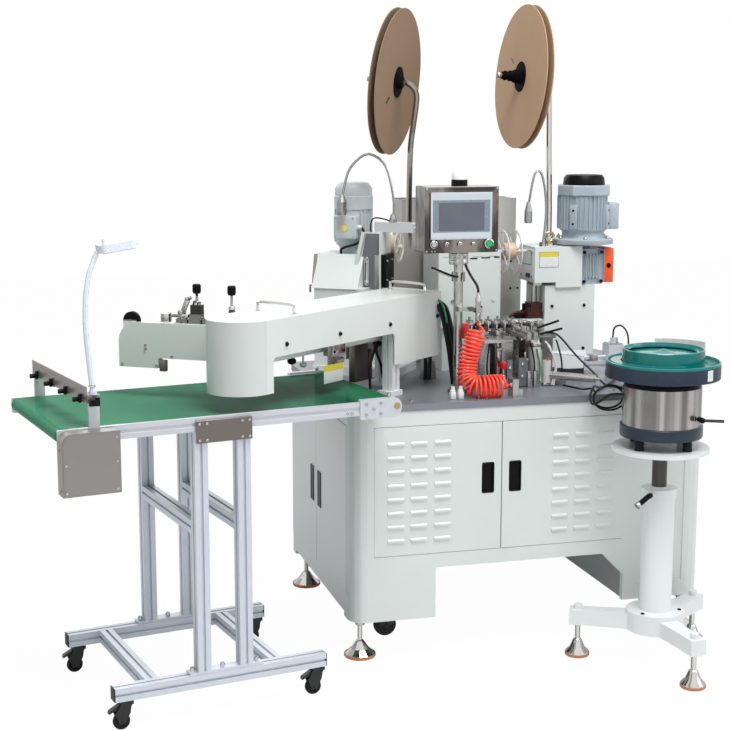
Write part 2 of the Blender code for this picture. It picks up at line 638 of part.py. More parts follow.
def make_straightener(machine):
    axes = empty("straightener_axes", STRAIGHTENER_END, STRAIGHTENER_TURN, machine)
    outline = rounded((-0.371, -0.019), (0.978, 1.115), (0.003, 0.0, 0.0, 0.060), 8)
    step = box((-0.240, 0.0), (-0.02, 0.04), (0.96, 1.009))
    bracket = ((-0.070, 0.011), (-0.0152, 0.011), (0.0042, 0.0745), (-0.070, 0.0745))
    joins = [
        prism(bracket, 1.020, 1.118),
        box((-0.192, -0.066), (0.010, 0.046), (1.060, 1.117)),
        box((-0.243, -0.222), (0.011, 0.030), (0.981, 1.035)),
        box((-0.360, -0.315), (0.011, 0.0150), (1.085, 1.120)),
        cylinder(0.0050, 0.010, 0.0350, (-0.336, 0, 1.117), "Y", 12),
        box((-0.139, -0.105), (0.016, 0.040), (1.110, 1.172)),
        tilted(box((-0.150, -0.132), (0.019, 0.037), (1.112, 1.185)), 16, "Y", (-0.141, 0.028, 1.112)),
        lathe(((0, 1.110), (0.018, 1.110), (0.018, 1.128), (0.008, 1.158), (0, 1.158)), (-0.0225, 0.0580, 0), steps=12),
    ]
    for i in range(6):
        u = -0.180 + 0.0215 * i
        joins.append(cylinder(0.0095, 0.020 - 0.006 * (i % 2), 0.044, (u, 0, 1.1225), "Y", 8))
    stems = ((-0.122, 0.0280, 1.205), (-0.0225, 0.0580, 1.200))
    cuts = [step] + [cylinder(0.0046, top - 0.068, top, (u, v, 0), steps=12) for u, v, top in stems]
    part("straightener_plate", prism(outline, 0.0, 0.012, "Y"), "white", axes, joins=joins, cuts=cuts)

    wheel = lathe(
        ((0.0055, 0.0165), (0.0270, 0.0165), (0.0270, 0.0195), (0.0235, 0.0230), (0.0270, 0.0265), (0.0270, 0.0300),
         (0.0055, 0.0300)),
        (-0.336, 0, 1.117), "Y", 20, ring=True,
    )
    part("guide_wheel", wheel, "black", axes, (-0.336, 0.0232, 1.117))

    for number, (u, v, top) in enumerate(stems, 1):
        profile = (
            (0, top - 0.064), (0.0040, top - 0.064), (0.0040, top), (0.0110, top + 0.001), (0.0120, top + 0.006),
            (0.0120, top + 0.026), (0.0105, top + 0.029), (0, top + 0.029),
        )
        knob = lathe(profile, (u, v, 0), steps=14)
        part(f"pressure_knob_{number}", knob, "black", axes, (u, v, top))



def finned(place, base, radius, depth, span, count):
    """Cooling fins that stand out of a motor's body all round."""
    shapes = []
    for i in range(count):
        fin = box((radius - 0.008, radius + depth), (-0.0018, 0.0018), (base + span[0], base + span[1]))
        turn = Matrix.Rotation(2 * math.pi * i / count, 3, "Z")
        bmesh.ops.rotate(fin, verts=fin.verts, cent=(0, 0, 0), matrix=turn)
        bmesh.ops.translate(fin, verts=fin.verts, vec=(place[0], place[1], 0))
        shapes.append(fin)
    return together(shapes)



def reel(name, machine, centre):
    """Two board discs on a hub, turning on an axle that rises a little towards its free end."""
    x, y, z, lean = centre
    half = REEL_GAP / 2
    profile = (
        (0.0100, -0.060), (0.0185, -0.060), (0.0240, -0.024), (0.052, -0.021), (0.054, -half - BOARD),
        (REEL_RADIUS, -half - BOARD), (REEL_RADIUS, -half), (0.060, -half), (0.060, half), (REEL_RADIUS, half),
        (REEL_RADIUS, half + BOARD), (0.0200, half + BOARD), (0.0200, 0.030), (0.0100, 0.030),
    )
    shape = lathe(profile, (x, y, z), "X", 26, ring=True)
    tilted(shape, lean, "Y", (x, y, z))
    part(name, shape, "board", machine, (x, y, z))


def reel_axle(centre, tail):
    """The bent bar that carries a reel: a straight axle through the hub, then down through the tail's points."""
    x, y, z, lean = centre
    hub = Vector((x, y, z))
    along = Vector((-math.cos(math.radians(lean)), 0, math.sin(math.radians(lean))))
    path = [hub + along * reach for reach in (0.098, 0.0, -0.042)]
    bend = smooth_path([tuple(path[-1])] + list(tail), 3)
    radii = [0.0095] * len(path) + [0.0100] * (len(bend) - 1)
    return swept(path + bend[1:], radii, 8)



def make_left_press(machine):
    axes = empty("left_press_axes", LEFT_PRESS_CENTRE, LEFT_PRESS_TURN, machine)
    floor = TABLE_TOP + SEAT
    hood = prism(((-0.115, 1.138), (0.095, 1.138), (0.095, 1.252), (-0.042, 1.252)), -0.1975, -0.030, "X")
    flap = prism(((-0.075, 1.150), (-0.040, 1.150), (0.000, 1.250), (-0.050, 1.250)), -0.2120, -0.1960, "X")
    guard = prism(((-0.068, 1.130), (0.0375, 1.130), (0.0375, 1.3310), (-0.0220, 1.3310)), -0.0450, -0.0400, "Y")
    edge = prism(((-0.078, 1.130), (-0.066, 1.130), (-0.0200, 1.3310), (-0.0320, 1.3310)), -0.0640, -0.0400, "Y")
    spool_v, spool_z = LEFT_SPOOL
    joins = [
        hood, flap, guard, edge,
        box((0.0320, 0.0375), (-0.0620, 0.0500), (1.130, 1.3310)),
        box((-0.0550, 0.0340), (-0.0420, 0.0700), (1.120, 1.160)),
        box((-0.1950, 0.1150), (-0.1150, 0.1150), (floor, 0.866)),
        box((-0.0100, 0.0850), (-0.0300, 0.0500), (0.860, 1.000)),
        box((0.0370, 0.0441), (-0.0200, 0.0250), (1.060, 1.250)),
        box((-0.0320, -0.0180), (0.0600, spool_v + 0.012), (1.150, spool_z + 0.012)),
        cylinder(0.0055, -0.0200, 0.0610, (0, spool_v, spool_z), "X", 12),
        cylinder(0.0085, 0.0590, 0.0650, (0, spool_v, spool_z), "X", 12),
        swept([(-0.0165, -0.0500, 1.145), (-0.0165, -0.0500, 1.245)], 0.0035, 8),
        cylinder(0.0070, 1.150, 1.164, (-0.0165, -0.0500, 0), steps=10),
        cylinder(0.0070, 1.226, 1.240, (-0.0165, -0.0500, 0), steps=10),
        swept([(-0.1920, -0.0900, 1.145), (-0.2120, -0.0900, 1.145), (-0.2120, -0.0900, 1.120)], 0.0040, 8),
    ]
    body = box((-0.1900, -0.0060), (-0.1100, 0.1020), (floor, 1.140))
    part("left_press_body", body, "white", axes, joins=joins)

    x, y = LEFT_MOTOR
    base = 1.2523
    profile = (
        (0, 0), (0.050, 0), (0.050, 0.020), (0.062, 0.028), (0.062, 0.150), (0.068, 0.153), (0.068, 0.196),
        (0.0655, 0.199), (0.0655, 0.224), (0.050, 0.245), (0, 0.245),
    )
    cable = smooth_path(
        ((-0.047, -0.023, 1.344), (-0.036, -0.025, 1.325), (-0.054, -0.036, 1.292), (-0.100, -0.036, 1.276),
         (-0.116, -0.034, 1.268), (-0.118, -0.032, 1.2545)), 3
    )
    joins = [
        finned((x, y), base, 0.062, 0.005, (0.036, 0.152), 12),
        prism(rounded((-0.142, -0.0590), (1.303, 1.386), (0.006,) * 4, 2), -0.0450, 0.0200, "Y"),
        prism(rounded((-0.136, -0.0650), (1.309, 1.380), (0.006,) * 4, 2), -0.0485, -0.0430, "Y"),
        cylinder(0.0100, -0.0610, -0.0450, (0, -0.023, 1.344), "X", 12),
        swept(cable, 0.0045, 5),
    ]
    part("left_motor", lathe(profile, (x, y, base), steps=16), "bluegrey", axes, joins=joins)

    ram = box((0.0444, 0.0550), (-0.0550, 0.0340), (1.141, 1.254))
    joins = [box((0.0450, 0.0545), (-0.0180, 0.0220), (1.080, 1.145))]
    part("left_ram", ram, "black", axes, (0.0497, -0.0105, 1.190), joins=joins)

    pole = reel_axle(
        LEFT_REEL, ((0.128, 0.0, 1.826), (0.1440, 0.0, 1.798), (0.1400, 0.0, 1.740), (0.1240, 0.0, 1.620),
                    (0.1200, 0.0, 1.450), (0.1200, 0.0, 1.275))
    )
    joins = [
        pole,
        box((0.1040, 0.1360), (-0.0280, 0.0200), (1.3395, 1.3645)),
        cylinder(0.0060, 0.1460, 0.1580, (0, -0.0260, 1.3465), "X", 8),
        cylinder(0.0060, 0.1460, 0.1580, (0, -0.0260, 1.3590), "X", 8),
    ]
    bar = box((0.0060, 0.1470), (-0.0397, -0.0130), (1.3313, 1.3655))
    part("left_reel_stand", bar, "aluminium", axes, joins=joins)
    reel("left_reel", axes, LEFT_REEL)
    left_spool(axes)

    foot = (0.0700, -0.0265, 1.3690)
    arch = smooth_path(
        (foot, (0.0750, -0.030, 1.430), (0.0626, -0.038, 1.515), (0.0406, -0.045, 1.570), (-0.0078, -0.055, 1.599),
         (-0.0497, -0.064, 1.576), (-0.0790, -0.070, 1.534), (-0.0980, -0.076, 1.450)), 3
    )
    bell = ((0, 1.3660), (0.0130, 1.3660), (0.0125, 1.376), (0.007, 1.394), (0, 1.394))
    shade = ((0, 1.3895), (0.015, 1.3895), (0.0165, 1.400), (0.0160, 1.435), (0.007, 1.460), (0, 1.460))
    joins = [lathe(bell, (0.0700, -0.0265, 0), steps=14), lathe(shade, (-0.0990, -0.0760, 0), steps=16)]
    part("left_lamp", swept(arch, 0.0045, 7), "chrome", axes, foot, joins=joins)


def left_spool(axes):
    v, z = LEFT_SPOOL
    low, high = -0.0120, 0.0560
    profile = (
        (0.0060, low), (0.057, low), (0.057, low + 0.0045), (0.040, low + 0.0055), (0.040, high - 0.0055),
        (0.057, high - 0.0045), (0.057, high), (0.0060, high),
    )
    windows = []
    for i in range(5):
        angle = math.radians(72 * i + 12)
        centre = (0, v + 0.0275 * math.cos(angle), z + 0.0275 * math.sin(angle))
        windows.append(cylinder(0.0095, high - 0.0040, high + 0.010, centre, "X", 8))
    spool = lathe(profile, (0, v, z), "X", 24, ring=True)
    part("left_spool", spool, "clear", axes, (0.0220, v, z), cuts=[together(windows)])


def make_right_press(machine):
    head = prism(((0.190, 1.146), (0.271, 1.146), (0.271, 1.127), (0.3700, 1.127), (0.3700, 1.272), (0.190, 1.272)), 0.050, 0.200, "Y")
    joins = [
        box((0.2345, 0.425), (0.060, 0.240), (TABLE_TOP + 0.010, 1.1335)),
        box((0.150, 0.445), (0.045, 0.250), (TABLE_TOP + SEAT, 0.862)),
        box((0.166, 0.2360), (0.070, 0.150), (0.855, 1.0120)),
    ]
    joins.append(cylinder(0.0055, 0.0880, 0.1920, (0, *SPOOL_AXLE), "X", 12))
    joins.append(cylinder(0.0085, 0.0860, 0.0905, (0, *SPOOL_AXLE), "X", 12))
    slot = box((0.1981, 0.2309), (0.0811, 0.1389), (1.120, 1.215))
    part("right_press_body", head, "white", machine, joins=joins, cuts=[slot])

    gear = prism(rounded((0.3710, 0.4600), (1.1340, 1.2600), (0.010,) * 4, 3), 0.066, 0.190, "Y")
    joins = [prism(rounded((0.4580, 0.4940), (1.1400, 1.2620), (0.004,) * 4, 2), 0.0580, 0.196, "Y")]
    for x in (0.392, 0.405, 0.418, 0.431):
        joins.append(box((x - 0.0025, x + 0.0025), (0.0580, 0.0680), (1.152, 1.242)))
    for x in (0.380, 0.446):
        for z in (1.145, 1.249):
            joins.append(cylinder(0.009, 0.0560, 0.0680, (x, 0, z), "Y", 8))
    hole = cylinder(0.014, 0.0500, 0.0720, (0.476, 0, 1.212), "Y", 12)
    part("right_gearbox", gear, "bluegrey", machine, joins=joins, cuts=[hole])

    x, y = RIGHT_MOTOR
    base = 1.2603
    profile = (
        (0, 0), (0.028, 0), (0.028, 0.0150), (0.1075, 0.0160), (0.1075, 0.0345), (0.078, 0.0375), (0.075, 0.057),
        (0.085, 0.066), (0.085, 0.186), (0.0940, 0.188), (0.0940, 0.224), (0.0735, 0.2255), (0.0720, 0.252),
        (0.062, 0.261), (0, 0.261),
    )
    bolts = []
    for i in range(6):
        angle = math.radians(60 * i + 12)
        place = (x + 0.095 * math.cos(angle), y + 0.095 * math.sin(angle), 0)
        bolts.append(cylinder(0.0065, base + 0.025, base + 0.0385, place, steps=6))
    joins = [
        finned((x, y), base, 0.085, 0.006, (0.068, 0.187), 14),
        prism(rounded((x + 0.070, x + 0.121), (1.3280, 1.4220), (0.008,) * 4, 3), y - 0.045, y + 0.045, "Y"),
        together(bolts),
    ]
    part("right_motor", lathe(profile, (x, y, base), steps=20), "bluegrey", machine, joins=joins)

    ram = box((0.1985, 0.2305), (0.0815, 0.1385), (1.132, 1.200))
    joins = [box((0.2015, 0.2095), (0.095, 0.106), (1.074, 1.136)), box((0.2195, 0.2275), (0.095, 0.106), (1.074, 1.136))]
    part("right_ram", ram, "chrome", machine, (0.2145, 0.110, 1.166), joins=joins)

    shoe = box((0.1760, 0.2335), (0.074, 0.146), (1.0123, 1.040))
    joins = [
        box((0.1900, 0.2335), (0.080, 0.140), (1.035, 1.0700)),
        cylinder(0.0065, 1.030, 1.056, (0.182, 0.085, 0), steps=10),
        swept([(0.180, 0.110, 1.030), (0.150, 0.112, 1.036), (0.122, 0.118, 1.020)], 0.006, 8),
    ]
    guide = box((0.2008, 0.2282), (0.0944, 0.1066), (1.042, 1.080))
    part("right_applicator", shoe, "brown", machine, joins=joins, cuts=[guide])

    px, py = 0.269, 0.120
    top = 1.2723
    pole = reel_axle(
        RIGHT_REEL, ((0.222, 0.120, 1.850), (0.252, 0.120, 1.826), (0.2600, 0.120, 1.780), (0.2640, 0.120, 1.60),
                     (px, py, 1.40), (px, py, top + 0.004))
    )
    ring = [(px - 0.002 + 0.016 * math.cos(math.radians(d)), py - 0.012, 1.303 + 0.016 * math.sin(math.radians(d))) for d in range(0, 331, 30)]
    joins = [
        lathe(((0, top), (0.021, top), (0.021, top + 0.006), (0.0145, top + 0.008), (0.0145, top + 0.034), (0, top + 0.034)), (px, py, 0), steps=18),
        swept(ring, 0.0038, 5),
    ]
    part("right_reel_pole", pole, "chrome", machine, joins=joins)
    reel("right_reel", machine, RIGHT_REEL)

    foot = (0.232, 0.086, top + 0.003)
    arch = smooth_path(
        (foot, (0.240, 0.088, 1.330), (0.245, 0.090, 1.400), (0.240, 0.092, 1.470), (0.228, 0.093, 1.522), (0.213, 0.094, 1.536),
         (0.198, 0.095, 1.515), (0.181, 0.096, 1.420)), 3
    )
    joins = [
        lathe(((0, 1.354), (0.0125, 1.354), (0.0140, 1.362), (0.0135, 1.395), (0.006, 1.428), (0, 1.428)), (0.180, 0.096, 0), steps=16),
        lathe(((0, top), (0.012, top), (0.011, top + 0.014), (0, top + 0.015)), (0.232, 0.086, 0), steps=14),
    ]
    part("right_lamp", swept(arch, 0.0042, 7), "chrome", machine, foot, joins=joins)

    axle = SPOOL_AXLE
    spool = lathe(
        ((0.0060, 0.0930), (0.0780, 0.0930), (0.0780, 0.0970), (0.030, 0.0980), (0.030, 0.1400), (0.0780, 0.1410), (0.0780, 0.1450), (0.0060, 0.1450)),
        (0, *axle), "X", 24, ring=True,
    )
    windows = []
    for i in range(5):
        angle = math.radians(72 * i)
        windows.append(cylinder(0.014, 0.080, 0.0975, (0, axle[0] + 0.052 * math.cos(angle), axle[1] + 0.052 * math.sin(angle)), "X", 8))
    part("clear_spool", spool, "clear", machine, (0.119, *axle), cuts=[together(windows)])


def make_panel(machine):
    x, y = PANEL_POST
    bracket = (
        (x - 0.012, y - 0.004), (x - 0.012, y - 0.040), (-0.176, y - 0.040), (-0.176, -0.374), (-0.154, -0.374),
        (-0.154, y - 0.024), (x + 0.012, y - 0.024), (x + 0.012, y - 0.004),
    )
    joins = [
        cylinder(0.032, TABLE_TOP + SEAT, 0.847, (x, y, 0), steps=16),
        cylinder(0.0220, 1.200, 1.2300, (x, y, 0), steps=14),
        swept([(x - 0.010, y - 0.018, 1.215), (x - 0.040, y - 0.034, 1.222), (x - 0.100, y - 0.036, 1.246)], 0.0045, 6),
        prism(bracket, 1.105, 1.120),
        cylinder(0.0085, 1.0800, 1.140, (-0.165, -0.360, 0), steps=10),
    ]
    part("hmi_post", cylinder(0.0148, TABLE_TOP + SEAT, 1.2540, (x, y, 0), steps=16), "steel", machine, (x, y, 0), joins=joins)

    x0, x1, y0, y1, z0, z1 = PANEL
    joins = [
        prism(rounded((-0.322, -0.118), (1.340, 1.488), (0.004,) * 4, 2), y0 - 0.008, y0 + 0.002, "Y"),
        lathe(((0, 1.2545), (0.0305, 1.2545), (0.0305, 1.294), (0.020, 1.295), (0.020, 1.300), (0, 1.300)), (x, y, 0), steps=16),
        lathe(((0, z1 - 0.002), (0.0255, z1 - 0.002), (0.0255, 1.524), (0.0240, 1.526), (0.0225, 1.540), (0.0150, 1.550), (0, 1.553)), (x, y, 0), steps=16),
    ]
    for place, radius in ((-0.311, 0.0110), (-0.268, 0.0060), (-0.224, 0.0060), (-0.179, 0.0045)):
        joins.append(cylinder(radius, y0 - 0.010, y0 + 0.002, (place, 0, 1.3240), "Y", 8))
    screen = box((-0.317, -0.120), (y0 - 0.02, y0 - 0.0070), (1.361, 1.463))
    socket = cylinder(0.0117, y0 - 0.02, y0 + 0.012, (-0.126, 0, 1.3240), "Y", 12)
    shell = prism(rounded((x0, x1), (z0, z1), (0.004,) * 4, 2), y0, y1, "Y")
    part("hmi_enclosure", shell, "steel", machine, (x, y, z0), joins=joins, cuts=[screen, socket])

    button = lathe(
        ((0, y0 - 0.011), (0.0100, y0 - 0.011), (0.0112, y0 - 0.009), (0.0112, y0 + 0.004), (0, y0 + 0.004)),
        (-0.126, 0, 1.3240), "Y", 12,
    )
    part("start_button", button, "green", machine, (-0.126, y0, 1.3240))


def make_centre(machine):
    floor = TABLE_TOP + SEAT
    joins = [
        box((-0.105, -0.070), (-0.215, -0.155), (0.845, 0.995)),
        box((-0.020, 0.022), (-0.190, -0.150), (0.845, 0.985)),
        box((0.060, 0.082), (-0.205, -0.145), (0.845, 0.990)),
        box((0.125, 0.165), (-0.190, -0.130), (0.845, 0.990)),
        box((-0.115, 0.180), (-0.180, -0.090), (0.983, 0.996)),
        box((-0.100, 0.172), (-0.085, -0.060), (0.845, 1.022)),
        box((-0.030, 0.120), (-0.130, -0.115), (0.990, 1.016)),
        cylinder(0.016, 0.845, 0.950, (0.105, -0.205, 0), steps=16),
        cylinder(0.013, 0.845, 0.975, (-0.045, -0.205, 0), steps=16),
        cylinder(0.010, 0.915, 0.935, (-0.045, -0.228, 0), steps=12),
        cylinder(0.0045, 0.930, 0.990, (0.105, -0.205, 0), steps=10),
        box((-0.052, -0.038), (-0.232, -0.200), (0.900, 0.918)),
        cylinder(0.009, -0.118, 0.000, (0, -0.105, 1.004), "X", 12),
        cylinder(0.010, 0.045, 0.168, (0, -0.072, 1.028), "X", 12),
    ]
    for i in range(5):
        x = -0.090 + 0.034 * i
        joins.append(box((x - 0.010, x + 0.010), (-0.072, -0.052), (1.018, 1.040)))
        joins.append(cylinder(0.0045, 1.036, 1.050, (x, -0.062, 0), steps=8))
    base = box((-0.130, 0.190), (-0.250, -0.040), (floor, 0.850))
    part("centre_unit", base, "steel", machine, joins=joins)

    pivot = (0.040, -0.160, 0.9965)
    joins = [
        box((0.018, 0.062), (-0.300, -0.150), (1.0040, 1.0140)),
        box((0.022, 0.036), (-0.318, -0.270), (1.0010, 1.0260)),
        box((0.044, 0.058), (-0.318, -0.270), (1.0010, 1.0260)),
        cylinder(0.009, 1.0100, 1.0360, (0.040, -0.235, 0), steps=12),
        cylinder(0.008, -0.225, -0.140, (0.040, 0, 1.0210), "Y", 12),
    ]
    hub = lathe(((0, 0.9965), (0.020, 0.9965), (0.020, 1.010), (0.014, 1.012), (0.014, 1.032), (0, 1.032)), (pivot[0], pivot[1], 0), steps=18)
    part("swing_head", hub, "steel", machine, pivot, joins=joins)

    housing = prism(rounded((-0.150, 0.083), (0.100, 0.280), (0.004,) * 4, 2), 0.990, 1.260)
    slots = []
    for x in (-0.118, -0.062, -0.006, 0.050):
        slots.append(box((x - 0.018, x + 0.018), (0.090, 0.102), (1.232, 1.240)))
    joins = [
        box((-0.130, 0.066), (0.115, 0.265), (floor, 1.000)),
        cylinder(0.006, 0.097, 0.102, (-0.098, 0, 1.085), "Y", 10),
        cylinder(0.006, 0.097, 0.102, (0.055, 0, 1.085), "Y", 10),
    ]
    part("wire_housing", housing, "white", machine, joins=joins, cuts=[together(slots)])

    outline = ((-0.275, floor), (0.235, floor), (0.235, 1.215), (0.212, 1.265), (0.212, 1.430), (-0.224, 1.430), (-0.224, 1.285), (-0.275, 1.235))
    inside = ((-0.272, 1.000), (0.232, 1.000), (0.232, 1.214), (0.209, 1.264), (0.209, 1.450), (-0.221, 1.450), (-0.221, 1.284), (-0.272, 1.234))
    hopper = prism(outline, 0.300, 0.420, "Y")
    part("rear_hopper", hopper, "steel", machine, cuts=[prism(inside, 0.303, 0.417, "Y")])

    rail = profile_bar((0.200, 0.460), (-0.130, -0.095), (0.858, 0.888), "X")
    joins = [
        box((0.215, 0.245), (-0.125, -0.100), (floor, 0.862)),
        box((0.400, 0.430), (-0.125, -0.100), (floor, 0.862)),
        tilted(box((0.226, 0.357), (-0.052, -0.047), (0.866, 0.916)), -25, "X", (0.290, -0.050, 0.866)),
        box((0.226, 0.357), (-0.110, -0.046), (0.862, 0.872)),
        box((0.395, 0.450), (-0.140, -0.085), (0.880, 0.945)),
        box((0.405, 0.440), (-0.165, -0.130), (0.865, 0.905)),
        cylinder(0.006, 0.250, 0.440, (0, -0.112, 0.900), "X", 10),
        cylinder(0.010, 0.940, 0.965, (0.422, -0.112, 0), steps=12),
        box((0.255, 0.285), (-0.128, -0.098), (0.884, 0.912)),
    ]
    part("feeder_track", rail, "aluminium", machine, joins=joins)


def make_bowl_feeder(machine):
    x, y = BOWL_AXIS
    low, high = 0.107, 0.158
    joins = []
    for angle in TRIPOD_ANGLES:
        outline = (
            (0.02, -0.034), (TRIPOD_RADIUS - 0.06, -0.026), (TRIPOD_RADIUS + 0.027, -0.025),
            (TRIPOD_RADIUS + 0.027, 0.025), (TRIPOD_RADIUS - 0.06, 0.026), (0.02, 0.034),
        )
        turn = Matrix.Rotation(math.radians(angle), 3, "Z")
        for shape in (
            prism(outline, low + 0.001, high - 0.001),
            levelling_foot((TRIPOD_RADIUS, 0), high + 0.014, 0.0385),
        ):
            bmesh.ops.rotate(shape, verts=shape.verts, cent=(0, 0, 0), matrix=turn)
            bmesh.ops.translate(shape, verts=shape.verts, vec=(x, y, 0))
            joins.append(shape)
    column = (
        (0, 0.150), (0.091, 0.150), (0.091, 0.172), (0.050, 0.173), (0.050, 0.540), (0.054, 0.542), (0.054, 0.571), (0, 0.571)
    )
    joins.append(lathe(column, (x, y, 0), steps=24))
    joins.append(swept([(x - 0.035, y - 0.030, 0.556), (x - 0.062, y - 0.050, 0.556), (x - 0.100, y - 0.062, 0.535)], 0.008, 8))
    bore = cylinder(0.0240, 0.300, 0.600, (x, y, 0), steps=16)
    part("bowl_stand", cylinder(0.090, low, high, (x, y, 0), steps=24), "white", machine, (x, y, 0), joins=joins, cuts=[bore])

    platform = (
        (0, 0.330), (0.0235, 0.330), (0.0235, 0.680), (0.034, 0.692), (0.152, 0.692), (0.152, PLATFORM_TOP),
        (0, PLATFORM_TOP),
    )
    part("bowl_platform", lathe(platform, (x, y, 0), steps=28), "white", machine, (x, y, PLATFORM_TOP))

    top = PLATFORM_TOP + SEAT
    joins = []
    for angle in (205, 295, 25, 115):
        a = math.radians(angle)
        place = (x + 0.104 * math.cos(a), y + 0.104 * math.sin(a), 0)
        joins.append(lathe(((0, top), (0.013, top), (0.013, 0.728), (0.010, 0.744), (0, 0.744)), place, steps=8))
    joins.append(swept([(x + 0.070, y - 0.090, 0.806), (x + 0.078, y - 0.128, 0.806), (x + 0.146, y - 0.128, 0.800)], 0.005, 6))
    drum = (
        (0, 0.740), (0.128, 0.740), (0.128, 0.773), (0.121, 0.776), (0.121, 0.874), (0.118, 0.876), (0.118, 0.9080),
        (0, 0.9080),
    )
    part("feeder_drum", lathe(drum, (x, y, 0), steps=28), "steel", machine, (x, y, 0.740), joins=joins)

    base = 0.9085
    bowl = (
        (0, base), (0.112, base), (0.130, 0.925), (0.1770, 0.925), (0.1770, 0.974), (0.1745, 0.978), (0.1700, 0.976),
        (0.1690, 0.962), (0.1270, 0.958), (0.1270, 1.0150), (0.1220, 1.0150), (0.1200, 0.958), (0.060, 0.942), (0, 0.950),
    )
    ramp = []
    for i in range(17):
        angle = math.radians(-150 + 250 * i / 16)
        ramp.append((x + 0.113 * math.cos(angle), y + 0.113 * math.sin(angle), 0.958 + 0.046 * i / 16))
    joins = [swept(ramp, 0.0095, 5)]
    guard = []
    for i in range(5):
        angle = math.radians(20 + 12 * i)
        guard.append((x + 0.1730 * math.cos(angle), y + 0.1730 * math.sin(angle)))
    for i in range(5):
        angle = math.radians(68 - 12 * i)
        guard.append((x + 0.1705 * math.cos(angle), y + 0.1705 * math.sin(angle)))
    joins.append(prism(guard, 0.970, 1.022))
    part("feeder_bowl", lathe(bowl, (x, y, 0), steps=26), "green", machine, (x, y, base), joins=joins)


def make_cords(machine):
    knots = (
        (-0.165, -0.360, 1.0790), (-0.1646, -0.360, 1.048), (-0.178, -0.362, 1.013), (-0.191, -0.363, 0.9775),
        (-0.201, -0.366, 0.932), (-0.205, -0.376, 0.897), (-0.192, -0.393, 0.873), (-0.160, -0.402, 0.870),
        (-0.128, -0.404, 0.870), (-0.090, -0.402, 0.870), (-0.0668, -0.402, 0.870),
    )
    coil = smooth_path(knots, 3)
    radii = []
    for point in coil:
        down = max(0.0, min(1.0, (1.066 - point.z) / 0.012))
        off = max(0.0, min(1.0, (-0.0780 - point.x) / 0.010)) if point.z < 0.95 else 1.0
        radii.append(0.0055 + 0.0285 * min(down, off))
    part("air_hose_coil", swept(coil, radii, 10), "red", machine, knots[0])

    x, y = BOWL_AXIS
    knots = (
        (x - 0.1045, y + 0.0650, 0.862), (x - 0.1206, y + 0.0750, 0.862), (x - 0.1400, y + 0.0880, 0.857),
        (x - 0.1600, y + 0.1060, 0.836), (x - 0.1740, y + 0.1350, 0.822), (x - 0.1650, y + 0.1750, 0.840), (x - 0.135, y + 0.215, 0.862), (x - 0.100, y + 0.260, 0.850), (x - 0.060, y + 0.310, 0.8405),
        (x + 0.000, y + 0.380, 0.8405), (x + 0.050, y + 0.440, 0.8450), (x + 0.078, y + 0.476, 0.868), (x + 0.085, y + 0.4985, 0.884),
    )
    part("feeder_cable", swept(smooth_path(knots, 4), 0.0042, 6), "black", machine, knots[0])


def centre_footprint(machine, cords):
    """Moves the machine so that the centre of its footprint, without its free cords, is the origin."""
    bpy.context.view_layer.update()
    graph = bpy.context.evaluated_depsgraph_get()
    lows, highs = [], []
    for obj in bpy.data.objects:
        if obj.type != "MESH" or obj.hide_render or obj.name in cords:
            continue
        evaluated = obj.evaluated_get(graph)
        mesh = evaluated.to_mesh()
        points = np.empty(len(mesh.vertices) * 3, np.float32)
        mesh.vertices.foreach_get("co", points)
        evaluated.to_mesh_clear()
        world = np.array(obj.matrix_world)
        points = points.reshape(-1, 3) @ world[:3, :3].T + world[:3, 3]
        lows.append(points.min(axis=0))
        highs.append(points.max(axis=0))
    low, high = np.min(lows, axis=0), np.max(highs, axis=0)
    machine.location = (float(-(low[0] + high[0]) / 2), float(-(low[1] + high[1]) / 2), float(-low[2]))
    bpy.context.view_layer.update()


clear_scene()
MACHINE = empty("machine", (0, 0))
make_cabinet(MACHINE)
make_conveyor(MACHINE)
make_arm(MACHINE)
make_straightener(MACHINE)
make_left_press(MACHINE)
make_right_press(MACHINE)
make_panel(MACHINE)
make_centre(MACHINE)
make_bowl_feeder(MACHINE)
make_cords(MACHINE)
centre_footprint(MACHINE, ("air_hose_coil", "feeder_cable"))
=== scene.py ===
"""Looks of the terminal crimping machine: finishes, detailed pieces, cords and the studio.

Places are metres in the axes of the unit that a piece belongs to: the cabinet, the conveyor, the wire
arm, the straightener or the left press. An Axes value moves them to the frame's own axes.
"""

import math

import bmesh
import bpy
from bpy.props import FloatProperty, FloatVectorProperty, IntProperty, PointerProperty
from mathutils import Matrix, Vector


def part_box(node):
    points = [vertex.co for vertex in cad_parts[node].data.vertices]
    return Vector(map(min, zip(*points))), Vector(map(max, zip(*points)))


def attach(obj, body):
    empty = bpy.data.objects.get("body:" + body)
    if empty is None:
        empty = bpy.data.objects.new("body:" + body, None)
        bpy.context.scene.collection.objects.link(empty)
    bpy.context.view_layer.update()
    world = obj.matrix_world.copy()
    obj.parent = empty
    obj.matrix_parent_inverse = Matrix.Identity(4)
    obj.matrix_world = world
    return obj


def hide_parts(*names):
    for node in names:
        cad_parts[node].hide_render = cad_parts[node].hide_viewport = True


bl_info = {
    "name": "Terminal Crimping Machine Looks",
    "version": (1, 0, 0),
    "blender": (4, 5, 0),
    "location": "View3D > Sidebar > Crimping",
    "description": "Dresses the crimping machine with finishes, fittings, reels, hoses and a studio",
    "category": "Object",
}

